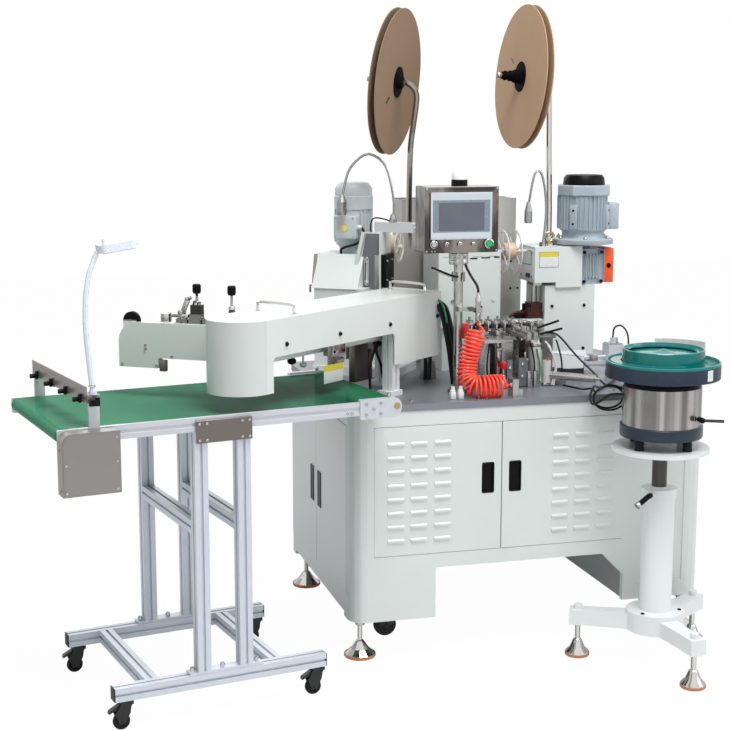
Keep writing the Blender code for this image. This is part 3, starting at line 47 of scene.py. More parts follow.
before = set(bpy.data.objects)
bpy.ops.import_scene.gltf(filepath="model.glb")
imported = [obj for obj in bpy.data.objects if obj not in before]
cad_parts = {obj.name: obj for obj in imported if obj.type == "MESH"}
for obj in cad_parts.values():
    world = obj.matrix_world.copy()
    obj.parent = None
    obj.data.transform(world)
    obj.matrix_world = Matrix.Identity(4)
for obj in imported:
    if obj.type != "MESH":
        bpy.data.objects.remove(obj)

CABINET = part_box("cabinet_shell")
CABINET_CENTRE = Vector(((CABINET[0][0] + CABINET[1][0]) / 2, (CABINET[0][1] + CABINET[1][1]) / 2, 0))


def axes_at(x, y, degrees):
    """The matrix from a unit's own axes to the frame's."""
    turn = Matrix.Rotation(math.radians(degrees), 4, "Z")
    return Matrix.Translation(CABINET_CENTRE + Vector((x, y, 0))) @ turn


CABINET_AXES = axes_at(0, 0, 0)
CONVEYOR_AXES = axes_at(-1.0577, -0.4579, 11.0)
ARM_AXES = axes_at(-0.991, -0.647, 38.8)
STRAIGHTENER_AXES = axes_at(-1.0, -0.55, -33.8)
LEFT_PRESS_AXES = axes_at(-0.36, 0.16, -33.8)

TABLE_TOP = 0.835
BELT_TOP = 0.888
DOOR_FACE = -0.451
SIDE_FACE = -0.611
ARM_SIDE = -0.0985
ARM_TOP = 1.153
BOWL = Vector((0.337, -0.668, 0))
RIGHT_MOTOR = Vector((0.4, 0.12, 1.2603))
LEFT_MOTOR = Vector((-0.0996, 0.05, 1.2523))
RIGHT_REEL = Vector((0.163, 0.12, 1.861))
LEFT_REEL = Vector((0.067, 0.0, 1.842))
RIGHT_LEAN = 4.0
LEFT_LEAN = 6.5
PANEL_FRONT = -0.34
PANEL_POST = (-0.209, -0.29)
HOSE_TOP = (-0.165, -0.36)
PRESSURE_KNOBS = ((-0.122, 0.028), (-0.0225, 0.058))
VALVE = (-0.04, -0.262, 0)


def tone(red, green, blue):
    """A colour as it looks on a screen, 0 to 255, in the linear values that shaders take."""
    linear = []
    for part in (red, green, blue):
        value = part / 255
        linear.append(value / 12.92 if value <= 0.04045 else ((value + 0.055) / 1.055) ** 2.4)
    return tuple(linear)


def shade_of(colour, factor):
    return tuple(part * factor for part in colour[:3])


class Value:
    """A number in a material. Python's operators add its Math nodes."""

    def __init__(self, finish, socket):
        self.finish = finish
        self.socket = socket

    def __add__(self, other):
        return self.finish.math("ADD", self, other)

    def __radd__(self, other):
        return self.finish.math("ADD", other, self)

    def __sub__(self, other):
        return self.finish.math("SUBTRACT", self, other)

    def __rsub__(self, other):
        return self.finish.math("SUBTRACT", other, self)

    def __mul__(self, other):
        return self.finish.math("MULTIPLY", self, other)

    def __rmul__(self, other):
        return self.finish.math("MULTIPLY", other, self)

    def above(self, edge):
        return self.finish.math("GREATER_THAN", self, edge)

    def between(self, low, high):
        """0 below low and 1 above high, with a straight rise."""
        return self.finish.node(
            "ShaderNodeMapRange", {"clamp": True}, {"Value": self, "From Min": low, "From Max": high}
        )["Result"]


class Outputs:
    """The outputs of a node, read by name as values."""

    def __init__(self, finish, node):
        self.finish = finish
        self.node = node

    def __getitem__(self, name):
        for socket in self.node.outputs:
            if socket.enabled and name in (socket.name, socket.identifier):
                return Value(self.finish, socket)
        raise KeyError(name)


class Finish:
    """One procedural material. Its patterns read Object coordinates."""

    def __init__(self, name, colour, roughness=0.5, metallic=0.0, coat=0.0):
        self.material = bpy.data.materials.new(name)
        self.material.use_nodes = True
        self.tree = self.material.node_tree
        self.shader = self.tree.nodes["Principled BSDF"]
        self.feed("Base Color", colour)
        self.feed("Roughness", roughness)
        self.feed("Metallic", metallic)
        self.feed("Coat Weight", coat)
        self.place = self.node("ShaderNodeTexCoord")["Object"]

    def node(self, kind, settings=None, inputs=None):
        made = self.tree.nodes.new(kind)
        for name, value in (settings or {}).items():
            setattr(made, name, value)
        for name, value in (inputs or {}).items():
            self.join(self.socket(made, name), value)
        return Outputs(self, made)

    def socket(self, made, name):
        if isinstance(name, int):
            return made.inputs[name]
        for socket in made.inputs:
            if socket.enabled and name in (socket.name, socket.identifier):
                return socket
        raise KeyError(name)

    def join(self, socket, value):
        if isinstance(value, Value):
            self.tree.links.new(value.socket, socket)
        elif socket.type == "RGBA":
            socket.default_value = (*value[:3], 1.0)
        else:
            socket.default_value = value

    def feed(self, name, value):
        self.join(self.shader.inputs[name], value)

    def fed(self, name):
        """What a shader input takes now: a linked value or its own."""
        socket = self.shader.inputs[name]
        if socket.is_linked:
            return Value(self, socket.links[0].from_socket)
        return tuple(socket.default_value)[:3] if socket.type == "RGBA" else socket.default_value

    def painted(self, mask, colour, roughness=0.4, metallic=0.0):
        """Another finish where the mask is 1; paint_parts also paints shade and light with it."""
        self.feed("Base Color", self.mix(mask, self.fed("Base Color"), colour))
        for name, value in (("Roughness", roughness), ("Metallic", metallic)):
            self.feed(name, mask * value + (1 - mask) * self.fed(name))

    def either(self, first, second):
        return self.math("MAXIMUM", first, second)

    def local(self, axes):
        """Object coordinates in a unit's own axes."""
        place, turn, _ = axes.decompose()
        inputs = {"Vector": self.place, "Location": place, "Rotation": turn.to_euler()}
        return self.node("ShaderNodeMapping", {"vector_type": "TEXTURE"}, inputs)["Vector"]

    def painted_reflection_bands(self):
        """Painted reflections: soft light and dark stripes in the colour that follow the way a polished
        surface faces.
        """
        facing = self.node("ShaderNodeTexCoord")["Normal"]
        inputs = {"Vector": facing, "Scale": (2.4, 2.4, 1.44)}
        turned_to = self.node("ShaderNodeMapping", None, inputs)["Vector"]
        return self.noise(1.6, 2.0, turned_to).between(0.4, 0.6)

    def edges(self):
        """Painted reflections and painted shade in the colour: a light middle with dark rims and a dark
        stripe, as a round polished part mirrors its room, darker on faces that look down and a little darker
        on faces that look up; fixed to the part itself.
        """
        facing = self.node("ShaderNodeTexCoord")["Normal"]
        across = self.axis("X", facing) * 0.96 - self.axis("Y", facing) * 0.26
        painted_dark_rims = self.math("ABSOLUTE", across, 0.0).between(0.52, 0.92)
        painted_dark_stripe = (across.between(-0.54, -0.46) - across.between(-0.36, -0.28)) * 0.75
        # painted shade: darker where the surface looks down, a little darker where it looks up
        below = 1 - self.axis("Z", facing).between(-0.8, -0.2)
        above = self.axis("Z", facing).between(0.85, 0.98) * 0.3
        return self.either(self.either(painted_dark_rims, painted_dark_stripe), self.either(below, above))

    def math(self, operation, first, second):
        return self.node("ShaderNodeMath", {"operation": operation}, {0: first, 1: second})["Value"]

    def mix(self, factor, first, second):
        inputs = {"Factor_Float": factor, "A_Color": first, "B_Color": second}
        return self.node("ShaderNodeMix", {"data_type": "RGBA"}, inputs)["Result_Color"]

    def placed(self, stretch=(1, 1, 1), turn=(0, 0, 0)):
        inputs = {"Vector": self.place, "Scale": stretch, "Rotation": turn}
        return self.node("ShaderNodeMapping", None, inputs)["Vector"]

    def noise(self, scale, detail=3.0, place=None, distortion=0.0):
        inputs = {"Vector": place or self.place, "Scale": scale, "Detail": detail, "Distortion": distortion}
        return self.node("ShaderNodeTexNoise", None, inputs)["Fac"]

    def axis(self, name, place=None):
        return self.node("ShaderNodeSeparateXYZ", None, {"Vector": place or self.place})[name]

    def relief(self, height, strength=0.2, distance=0.0005):
        inputs = {"Height": height, "Strength": strength, "Distance": distance}
        self.feed("Normal", self.node("ShaderNodeBump", None, inputs)["Normal"])


def enamel(name, colour, roughness=0.34):
    """Powder coat on sheet steel: fine orange peel, and faint marks where hands wipe it."""
    finish = Finish(name, colour, coat=0.15)
    wiped = finish.noise(5.0, 5.0).between(0.35, 0.75)
    finish.feed("Base Color", finish.mix(wiped * 0.6, colour, shade_of(colour, 0.94)))
    finish.feed("Roughness", wiped * 0.1 + roughness)
    finish.relief(finish.noise(900.0, 2.0), 0.1, 0.0003)
    return finish


def brushed(name, colour, grain, roughness=0.3, metallic=0.95, contrast=0.8, depth=0.35):
    """Brushed or ground metal, with its grain stretched as the Mapping scales say, and painted reflections
    in stripes as deep as depth says.
    """
    finish = Finish(name, colour, metallic=metallic)
    lines = finish.noise(190.0, 3.0, finish.placed(grain))
    smears = finish.noise(7.0, 4.0).between(0.4, 0.8)
    streaked = finish.mix(lines, shade_of(colour, contrast), colour)
    # painted reflections: the colour darkens in stripes that follow the way the surface faces
    toned = finish.mix(finish.painted_reflection_bands() * depth, streaked, shade_of(colour, 0.3))
    finish.feed("Base Color", finish.mix(smears * 0.25, toned, shade_of(colour, 0.78)))
    finish.feed("Roughness", lines * 0.14 + smears * 0.1 + (roughness - 0.07))
    finish.relief(lines, 0.08, 0.0001)
    return finish


def polished(name, colour, roughness=0.1, depth=0.9):
    """Plated or turned metal, a little smeared, with painted reflections and painted shade from edges() in
    its colour.
    """
    finish = Finish(name, colour, metallic=1.0)
    smears = finish.noise(26.0, 4.0).between(0.4, 0.75)
    # painted reflections and painted shade from edges(), as deep as depth says
    painted_reflections = finish.mix(finish.edges() * depth, colour, shade_of(colour, 0.1))
    finish.feed("Base Color", finish.mix(smears * 0.4, painted_reflections, shade_of(colour, 0.8)))
    finish.feed("Roughness", smears * 0.12 + roughness)
    return finish


def cast(name, colour):
    """Painted casting: pebbled skin, and dust that greys it unevenly."""
    finish = Finish(name, colour, coat=0.1)
    dust = finish.noise(14.0, 5.0).between(0.4, 0.8)
    pebbles = finish.noise(420.0, 3.0)
    finish.feed("Base Color", finish.mix(dust * 0.6, colour, shade_of(colour, 0.84)))
    finish.feed("Roughness", pebbles * 0.15 + 0.42)
    finish.relief(pebbles, 0.3, 0.0005)
    return finish


def moulded(name, colour, roughness=0.42, coat=0.0, specular=0.4):
    """Moulded plastic or rubber: fine grain, scuffed a little paler."""
    finish = Finish(name, colour, coat=coat)
    finish.feed("Specular IOR Level", specular)
    scuffs = finish.noise(60.0, 5.0).between(0.55, 0.8)
    paler = tuple(part * 0.98 + 0.012 for part in colour[:3])
    finish.feed("Base Color", finish.mix(scuffs * 0.6, colour, paler))
    finish.feed("Roughness", scuffs * 0.12 + roughness)
    finish.relief(finish.noise(1100.0, 2.0), 0.15, 0.0003)
    return finish


def board(name, colour):
    """Grey-brown reel board: paper fibres, mottling and a slightly darker patch here and there."""
    finish = Finish(name, colour, roughness=0.86)
    mottling = finish.noise(9.0, 6.0)
    fibres = finish.noise(260.0, 3.0, finish.placed((1.0, 0.25, 1.0)))
    toned = finish.mix(mottling, shade_of(colour, 0.86), colour)
    finish.feed("Base Color", finish.mix(fibres * 0.3, toned, shade_of(colour, 0.72)))
    finish.feed("Roughness", fibres * 0.1 + 0.8)
    finish.relief(fibres + mottling * 0.6, 0.22, 0.0006)
    return finish


def belt_sheet(name, colour):
    """Coated conveyor belt: deep green, with painted sheens across it, and painted light that makes it paler
    towards the drive end and darker towards the other end.
    """
    finish = Finish(name, colour, coat=0.14)
    finish.feed("Specular IOR Level", 0.0)
    along = finish.axis("X", finish.local(CONVEYOR_AXES))
    # painted sheens: broad soft stripes of lighter green across the belt
    painted_sheen = finish.noise(
        2.4, 2.0, finish.placed((2.6, 0.5, 1.0), (0, 0, math.radians(-11)))
    ).between(0.42, 0.66)
    wiped = finish.noise(20.0, 4.0).between(0.45, 0.8)
    paler = tuple(part * 1.5 + 0.05 for part in colour[:3])
    # painted light and shade: paler towards the drive end, darker towards the other end
    toned = finish.mix(1 - along.between(-0.55, 0.3), shade_of(colour, 0.5), paler)
    streaked = finish.mix(painted_sheen * 0.35, toned, tuple(part * 1.6 + 0.07 for part in colour[:3]))
    finish.feed("Base Color", finish.mix(wiped * 0.12, streaked, paler))
    finish.feed("Roughness", wiped * 0.1 + 0.26)
    finish.relief(finish.noise(700.0, 2.0), 0.08, 0.0003)
    return finish


def clear_plastic(name, colour):
    """Clear moulding, seen as a pale veil with bright edges."""
    finish = Finish(name, colour, roughness=0.12, coat=0.4)
    haze = finish.noise(40.0, 3.0)
    finish.feed("Alpha", haze * 0.16 + 0.62)
    finish.feed("Roughness", haze * 0.1 + 0.1)
    return finish


def mirror_sheet(name, colour):
    """Polished stainless sheet with painted reflections: broad, soft-edged dark areas in its colour, as if
    it mirrored a dark room.
    """
    finish = Finish(name, colour, metallic=1.0)
    # painted reflections: dark areas painted into the colour
    painted_reflection_areas = finish.noise(7.0, 3.0, finish.placed((1.0, 1.0, 0.5)), 0.6).between(0.44, 0.58)
    fine = finish.noise(160.0, 3.0, finish.placed((1.0, 1.0, 0.2)))
    toned = finish.mix(painted_reflection_areas, shade_of(colour, 0.16), colour)
    finish.feed("Base Color", finish.mix(fine * 0.3, toned, shade_of(colour, 0.6)))
    finish.feed("Roughness", painted_reflection_areas * 0.12 + 0.14)
    return finish


def caution_plate(name, band_low):
    """Bare plate: an amber band over a pale field, with nothing printed on either."""
    finish = Finish(name, tone(226, 228, 224), roughness=0.35)
    band = finish.axis("Z").above(band_low)
    worn = finish.noise(120.0, 4.0).between(0.35, 0.8) * 0.25
    fields = finish.mix(band, tone(224, 227, 226), tone(222, 202, 40))
    finish.feed("Base Color", finish.mix(worn, fields, tone(176, 176, 160)))
    return finish


def screen_glass(name):
    """Dark display behind glass: a slate field with a faint shimmer."""
    finish = Finish(name, tone(84, 88, 100), roughness=0.1, coat=0.5)
    shimmer = finish.noise(12.0, 2.0)
    finish.feed("Base Color", finish.mix(shimmer, tone(78, 82, 94), tone(96, 100, 112)))
    finish.feed("Roughness", shimmer * 0.06 + 0.08)
    return finish


FINISHES = {}


def finish_named(name):
    return FINISHES[name].material


def block(low, high, edge=0.0, segments=2):
    """A block between two corners, with rounded edges."""
    shape = bmesh.new()
    bmesh.ops.create_cube(shape, size=1.0)
    size = Vector(high) - Vector(low)
    bmesh.ops.scale(shape, vec=size, verts=shape.verts)
    bmesh.ops.translate(shape, vec=(Vector(high) + Vector(low)) / 2, verts=shape.verts)
    if edge:
        soften(shape, edge, segments)
    return shape


def soften(shape, edge, segments=2, sharper_than=30.0):
    """Rounds every edge that is sharper than this angle."""
    limit = math.radians(sharper_than)
    edges = [e for e in shape.edges if len(e.link_faces) == 2 and e.calc_face_angle() > limit]
    bmesh.ops.bevel(
        shape, geom=edges, offset=edge, offset_type="OFFSET", segments=segments, profile=0.5, affect="EDGES",
        material=-1, clamp_overlap=True
    )
    return shape


AXIS_TURNS = {
    "Z": Matrix.Identity(4), "X": Matrix.Rotation(math.radians(90), 4, "Y"),
    "Y": Matrix.Rotation(math.radians(-90), 4, "X")
}


def seat(centre, axis):
    """The matrix that stands a shape on a centre, along an axis."""
    return Matrix.Translation(Vector(centre)) @ AXIS_TURNS[axis]


def about(centre, angle):
    """The matrix that turns a shape round an upright axis through a centre, from the origin to there."""
    return Matrix.Translation(Vector(centre)) @ Matrix.Rotation(angle, 4, "Z")


def towards(centre, aim):
    """The matrix that points a shape's Z axis along an aim, from a centre."""
    return Matrix.Translation(Vector(centre)) @ Vector(aim).to_track_quat("Z", "Y").to_matrix().to_4x4()


def turned(profile, centre=(0, 0, 0), axis="Z", steps=40, edge=0.0):
    """A solid of revolution from (radius, height) points, spun about an axis through the centre."""
    shape = bmesh.new()
    points = [shape.verts.new((radius, 0, height)) for radius, height in profile]
    for start, end in zip(points, points[1:]):
        shape.edges.new((start, end))
    bmesh.ops.spin(
        shape, geom=shape.verts[:] + shape.edges[:], cent=(0, 0, 0), axis=(0, 0, 1), dvec=(0, 0, 0),
        angle=2 * math.pi, steps=steps, use_merge=True, use_duplicate=False
    )
    bmesh.ops.remove_doubles(shape, verts=shape.verts, dist=1e-6)
    bmesh.ops.recalc_face_normals(shape, faces=shape.faces)
    if edge:
        soften(shape, edge, 2, 50.0)
    return moved(shape, seat(centre, axis))


def sleeve(inner, outer, low, high, steps, edge=0.0):
    """A ring with a square section, about Z."""
    section = ((inner, low), (outer, low), (outer, high), (inner, high), (inner, low))
    return turned(section, steps=steps, edge=edge)


def plug(radius, low, high, centre, axis, steps):
    """A plain disc or cylinder from low to high along an axis through the centre."""
    return turned(((0.0, low), (radius, low), (radius, high), (0.0, high)), centre, axis, steps)


def rod(radius, low, high, centre=(0, 0, 0), axis="Z", steps=20, edge=0.0):
    """A round bar from low to high along an axis through the centre."""
    shape = bmesh.new()
    bmesh.ops.create_cone(
        shape, cap_ends=True, cap_tris=False, segments=steps, radius1=radius, radius2=radius,
        depth=high - low
    )
    bmesh.ops.translate(shape, vec=(0, 0, (high + low) / 2), verts=shape.verts)
    if edge:
        soften(shape, edge, 2, 50.0)
    return moved(shape, seat(centre, axis))


def moved(shape, matrix):
    bmesh.ops.transform(shape, matrix=matrix, verts=shape.verts)
    return shape


def tilted(shape, degrees, axis, centre):
    bmesh.ops.rotate(
        shape, verts=shape.verts, cent=centre, matrix=Matrix.Rotation(math.radians(degrees), 4, axis)
    )
    return shape


def pushed_in(shape, facing, margin, depth):
    """Insets the faces that look this way and sinks them, as a tray or a recess."""
    faces = [face for face in shape.faces if face.normal.dot(Vector(facing)) > 0.99]
    bmesh.ops.inset_region(shape, faces=faces, thickness=margin, depth=-depth, use_even_offset=True)
    return shape


def cap_screw(centre, axis="Z", radius=0.0045, height=0.004, side=1):
    """A socket cap screw's head, with its hexagon sunk in the end that shows."""
    shape = bmesh.new()
    bmesh.ops.create_cone(
        shape, cap_ends=True, segments=12, radius1=radius, radius2=radius * 0.96, depth=height
    )
    top = [face for face in shape.faces if face.normal.z > 0.9]
    bmesh.ops.inset_region(shape, faces=top, thickness=radius * 0.42)
    bmesh.ops.inset_region(shape, faces=top, thickness=radius * 0.02, depth=-height * 0.5)
    bmesh.ops.translate(shape, vec=(0, 0, height / 2), verts=shape.verts)
    flip = Matrix.Identity(4) if side > 0 else Matrix.Rotation(math.pi, 4, "X")
    return moved(shape, seat(centre, axis) @ flip)


def hex_nut(centre, axis="Z", radius=0.008, height=0.006):
    shape = bmesh.new()
    bmesh.ops.create_cone(shape, cap_ends=True, segments=6, radius1=radius, radius2=radius, depth=height)
    soften(shape, radius * 0.08, 1)
    return moved(shape, seat(centre, axis))


def smooth_path(points, steps):
    """Points along a smooth curve through the given ones."""
    knots = [Vector(point) for point in points]
    knots = [2 * knots[0] - knots[1]] + knots + [2 * knots[-1] - knots[-2]]
    path = []
    for before, start, end, after in zip(knots, knots[1:], knots[2:], knots[3:]):
        for i in range(steps):
            t = i / steps
            path.append(0.5 * (
                2 * start + (end - before) * t + (
                    2 * before - 5 * start + 4 * end - after
                ) * t * t + (3 * start - before - 3 * end + after) * t * t * t
            ))
    path.append(knots[-2])
    return path


def length_of(path):
    return sum((b - a).length for a, b in zip(path, path[1:]))


def piece(name, shapes, finish, body="machine", axes=CABINET_AXES, replaces=()):
    """Joins shapes into one object with one finish, in the frame's axes, riding on its body."""
    whole = bmesh.new()
    for shape in shapes:
        mesh = bpy.data.meshes.new("shape")
        shape.to_mesh(mesh)
        shape.free()
        whole.from_mesh(mesh)
        bpy.data.meshes.remove(mesh)
    bmesh.ops.transform(whole, matrix=axes, verts=whole.verts)
    mesh = bpy.data.meshes.new(name)
    whole.to_mesh(mesh)
    whole.free()
    mesh.shade_smooth()
    mesh.set_sharp_from_angle(angle=math.radians(35.0))
    mesh.materials.append(finish_named(finish))
    obj = bpy.data.objects.new(name, mesh)
    bpy.context.scene.collection.objects.link(obj)
    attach(obj, body)
    if replaces:
        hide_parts(*replaces)
    return obj


def tubing(name, paths, radius, finish, axes=CABINET_AXES, body="machine"):
    """Round tubes along paths, as one curve object."""
    curve = bpy.data.curves.new(name, "CURVE")
    curve.dimensions = "3D"
    curve.bevel_depth = radius
    curve.bevel_resolution = 4
    curve.use_fill_caps = True
    for path in paths:
        spline = curve.splines.new("POLY")
        spline.points.add(len(path) - 1)
        for point, place in zip(spline.points, path):
            point.co = (*(axes @ Vector(place)), 1.0)
        spline.use_smooth = True
    curve.materials.append(finish_named(finish))
    obj = bpy.data.objects.new(name, curve)
    bpy.context.scene.collection.objects.link(obj)
    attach(obj, body)
    return obj


def leads(name, paths, radius, finish, axes=CABINET_AXES):
    """Cables or air tubes that hang between two fittings, each as a tube object of its own."""
    for number, path in enumerate(paths, 1):
        lead = tubing(f"{name}_{number}", [path], radius, finish, axes)
        length_of(path)


def colour_setting(name, description, default):
    return FloatVectorProperty(
        name=name, description=description, subtype="COLOR", min=0, max=1, default=default
    )


class StageSettings(bpy.types.PropertyGroup):
    """The camera, lamps and floor."""

    camera_place: FloatVectorProperty(
        name="Camera", description="Camera's place from the cabinet's centre", subtype="TRANSLATION",
        unit="LENGTH", default=(-1.75, -4.81, 1.72)
    )
    camera_pitch: FloatProperty(
        name="Pitch", description="How far the camera looks down", subtype="ANGLE",
        default=math.radians(9.475)
    )
    camera_turn: FloatProperty(
        name="Turn", description="How far the camera is turned to the right", subtype="ANGLE",
        default=math.radians(15.2)
    )
    lens: FloatProperty(name="Lens", description="Focal length", unit="CAMERA", default=72.99)
    world_light: FloatProperty(name="World light", description="Strength of the even light", default=0.48)
    key_light: FloatProperty(
        name="Key lamp", description="Power of the large soft lamp", unit="POWER", default=235.0
    )
    fill_light: FloatProperty(
        name="Fill lamp", description="Power of the lamp opposite", unit="POWER", default=45.0
    )


class FinishSettings(bpy.types.PropertyGroup):
    """The colours that someone would change first."""

    enamel: colour_setting("Enamel", "Paint of the cabinet, arm and presses", tone(217, 223, 220))
    table: colour_setting("Table", "Ground steel table", tone(138, 140, 148))
    belt: colour_setting("Belt", "Conveyor belt", tone(20, 104, 70))
    bowl: colour_setting("Bowl", "Lining paint of the feeder's bowl", tone(2, 120, 116))
    motor: colour_setting("Motor", "Paint of the motors and gearbox", tone(168, 180, 189))
    hose: colour_setting("Hose", "Coiled air hose", tone(250, 74, 52))
    reel: colour_setting("Reel board", "Discs of the terminal reels", tone(186, 154, 124))


class ReelSettings(bpy.types.PropertyGroup):
    """The two board reels over the presses."""

    radius: FloatProperty(name="Radius", description="Radius of a disc", unit="LENGTH", default=0.247)
    gap: FloatProperty(name="Gap", description="Space between the discs", unit="LENGTH", default=0.018)
    warp: FloatProperty(name="Warp", description="How far the board bends", unit="LENGTH", default=0.002)
    facets: IntProperty(name="Facets", description="Steps round a disc", default=96, min=24)


class HoseSettings(bpy.types.PropertyGroup):
    """The coiled air hose."""

    tube: FloatProperty(name="Tube", description="Diameter of the tube", unit="LENGTH", default=0.0085)
    coil: FloatProperty(
        name="Coil", description="Radius of the coil's centre line", unit="LENGTH", default=0.029
    )
    pitch: FloatProperty(
        name="Pitch", description="Way along the coil for one turn", unit="LENGTH", default=0.0122
    )


class MACHINE_OT_stage(bpy.types.Operator):
    """Place the camera, the soft lamps and the pale floor"""

    bl_idname = "machine.stage"
    bl_label = "Stage"

    def execute(self, context):
        settings = context.scene.machine_stage
        scene = context.scene
        scene.view_settings.view_transform = "Standard"
        data = bpy.data.cameras.new("camera")
        data.lens = settings.lens
        data.sensor_width = 36.0
        data.sensor_fit = "HORIZONTAL"
        data.clip_end = 60.0
        camera = bpy.data.objects.new("camera", data)
        camera.location = CABINET_CENTRE + Vector(settings.camera_place)
        camera.rotation_euler = (math.radians(90) - settings.camera_pitch, 0, -settings.camera_turn)
        scene.collection.objects.link(camera)
        scene.camera = camera
        self.light_world(scene, settings.world_light)
        self.add_lamp(scene, "key_lamp", (-0.2, -2.3, 5.4), 2.8, settings.key_light)
        self.add_lamp(scene, "fill_lamp", (4.2, -2.6, 3.2), 3.0, settings.fill_light)
        self.add_lamp(scene, "back_lamp", (-1.0, 4.2, 3.8), 3.0, settings.fill_light)
        self.lay_floor(scene)
        return {"FINISHED"}

    def light_world(self, scene, strength):
        world = bpy.data.worlds.new("studio")
        world.use_nodes = True
        tree = world.node_tree
        shown = tree.nodes["Background"]
        shown.inputs["Color"].default_value = (1.0, 1.0, 1.0, 1.0)
        shown.inputs["Strength"].default_value = 1.0
        lit = tree.nodes.new("ShaderNodeBackground")
        lit.inputs["Color"].default_value = (0.96, 0.98, 1.0, 1.0)
        lit.inputs["Strength"].default_value = strength
        ray = tree.nodes.new("ShaderNodeLightPath")
        either = tree.nodes.new("ShaderNodeMath")
        either.operation = "MAXIMUM"
        any_of = tree.nodes.new("ShaderNodeMath")
        any_of.operation = "MAXIMUM"
        choice = tree.nodes.new("ShaderNodeMixShader")
        tree.links.new(ray.outputs["Is Camera Ray"], either.inputs[0])
        tree.links.new(ray.outputs["Is Transmission Ray"], either.inputs[1])
        tree.links.new(either.outputs[0], any_of.inputs[0])
        tree.links.new(ray.outputs["Is Glossy Ray"], any_of.inputs[1])
        tree.links.new(any_of.outputs[0], choice.inputs["Fac"])
        tree.links.new(lit.outputs[0], choice.inputs[1])
        tree.links.new(shown.outputs[0], choice.inputs[2])
        tree.links.new(choice.outputs[0], tree.nodes["World Output"].inputs["Surface"])
        scene.world = world

    def add_lamp(self, scene, name, place, size, power):
        data = bpy.data.lights.new(name, "AREA")
        data.shape = "DISK"
        data.size = size
        data.energy = power
        lamp = bpy.data.objects.new(name, data)
        lamp.location = CABINET_CENTRE + Vector(place)
        aim = CABINET_CENTRE + Vector((-0.3, -0.1, 0.9)) - lamp.location
        lamp.rotation_euler = aim.to_track_quat("-Z", "Y").to_euler()
        scene.collection.objects.link(lamp)

    def lay_floor(self, scene):
        mesh = bpy.data.meshes.new("floor")
        shape = bmesh.new()
        bmesh.ops.create_grid(shape, x_segments=1, y_segments=1, size=12.0)
        bmesh.ops.translate(shape, vec=(0, 0, -0.0005), verts=shape.verts)
        shape.to_mesh(mesh)
        shape.free()
        finish = Finish("floor", (0.8, 0.8, 0.8), roughness=0.9)
        ray = finish.node("ShaderNodeLightPath")["Is Camera Ray"]
        speckle = finish.noise(30.0, 2.0)
        finish.feed("Base Color", finish.mix(speckle, (0.84, 0.84, 0.84), (0.86, 0.86, 0.86)))
        glow = finish.node(
            "ShaderNodeEmission", None, {"Color": (1.0, 1.0, 1.0), "Strength": 1.0}
        )["Emission"]
        shared = finish.node("ShaderNodeMixShader", None, {0: ray * 0.975, 2: glow})
        finish.tree.links.new(finish.shader.outputs["BSDF"], shared.node.inputs[1])
        finish.tree.links.new(
            shared["Shader"].socket, finish.tree.nodes["Material Output"].inputs["Surface"]
        )
        mesh.materials.append(finish.material)
        floor = bpy.data.objects.new("floor", mesh)
        scene.collection.objects.link(floor)


NODE_FINISHES = {
    "enamel": (
        "cabinet_shell", "front_door_left", "front_door_right", "side_door_front", "side_door_rear",
        "right_press_body", "wire_housing",
    ),
    "arm_enamel": ("arm_cover",),
    "straightener_enamel": ("straightener_plate",),
    "press_enamel": ("left_press_body",),
    "lamp_white": ("belt_lamp",),
    "white_enamel": ("bowl_stand", "bowl_platform", "arm_frame"),
    "table": ("table_top",),
    "chrome": (
        "cabinet_foot_1", "cabinet_foot_2", "cabinet_foot_3", "cabinet_foot_4", "right_reel_pole",
        "right_ram", "hmi_post",
    ),
    "gooseneck": ("left_lamp", "right_lamp"),
    "drum_steel": ("feeder_drum",),
    "cover_steel": ("conveyor_gearbox_cover",),
    "sheet_steel": ("rear_hopper",),
    "machined": ("centre_unit", "swing_head", "drive_roller", "tail_roller", "pull_clamp"),
    "aluminium": ("conveyor_frame", "feeder_track"),
    "guide_bar": ("belt_guide",),
    "reel_stand": ("left_reel_stand",),
    "profile_upright": ("stand_legs",),
    "profile_level": ("stand_base",),
    "panel_steel": ("hmi_enclosure",),
    "belt": ("conveyor_belt",),
    "bowl": ("feeder_bowl",),
    "button": ("start_button",),
    "black_plastic": ("guide_wheel", "left_ram"),
    "knob_black": ("pressure_knob_1", "pressure_knob_2"),
    "motor": ("right_motor", "right_gearbox"),
    "left_motor_cast": ("left_motor",),
    "brown_block": ("right_applicator",),
}


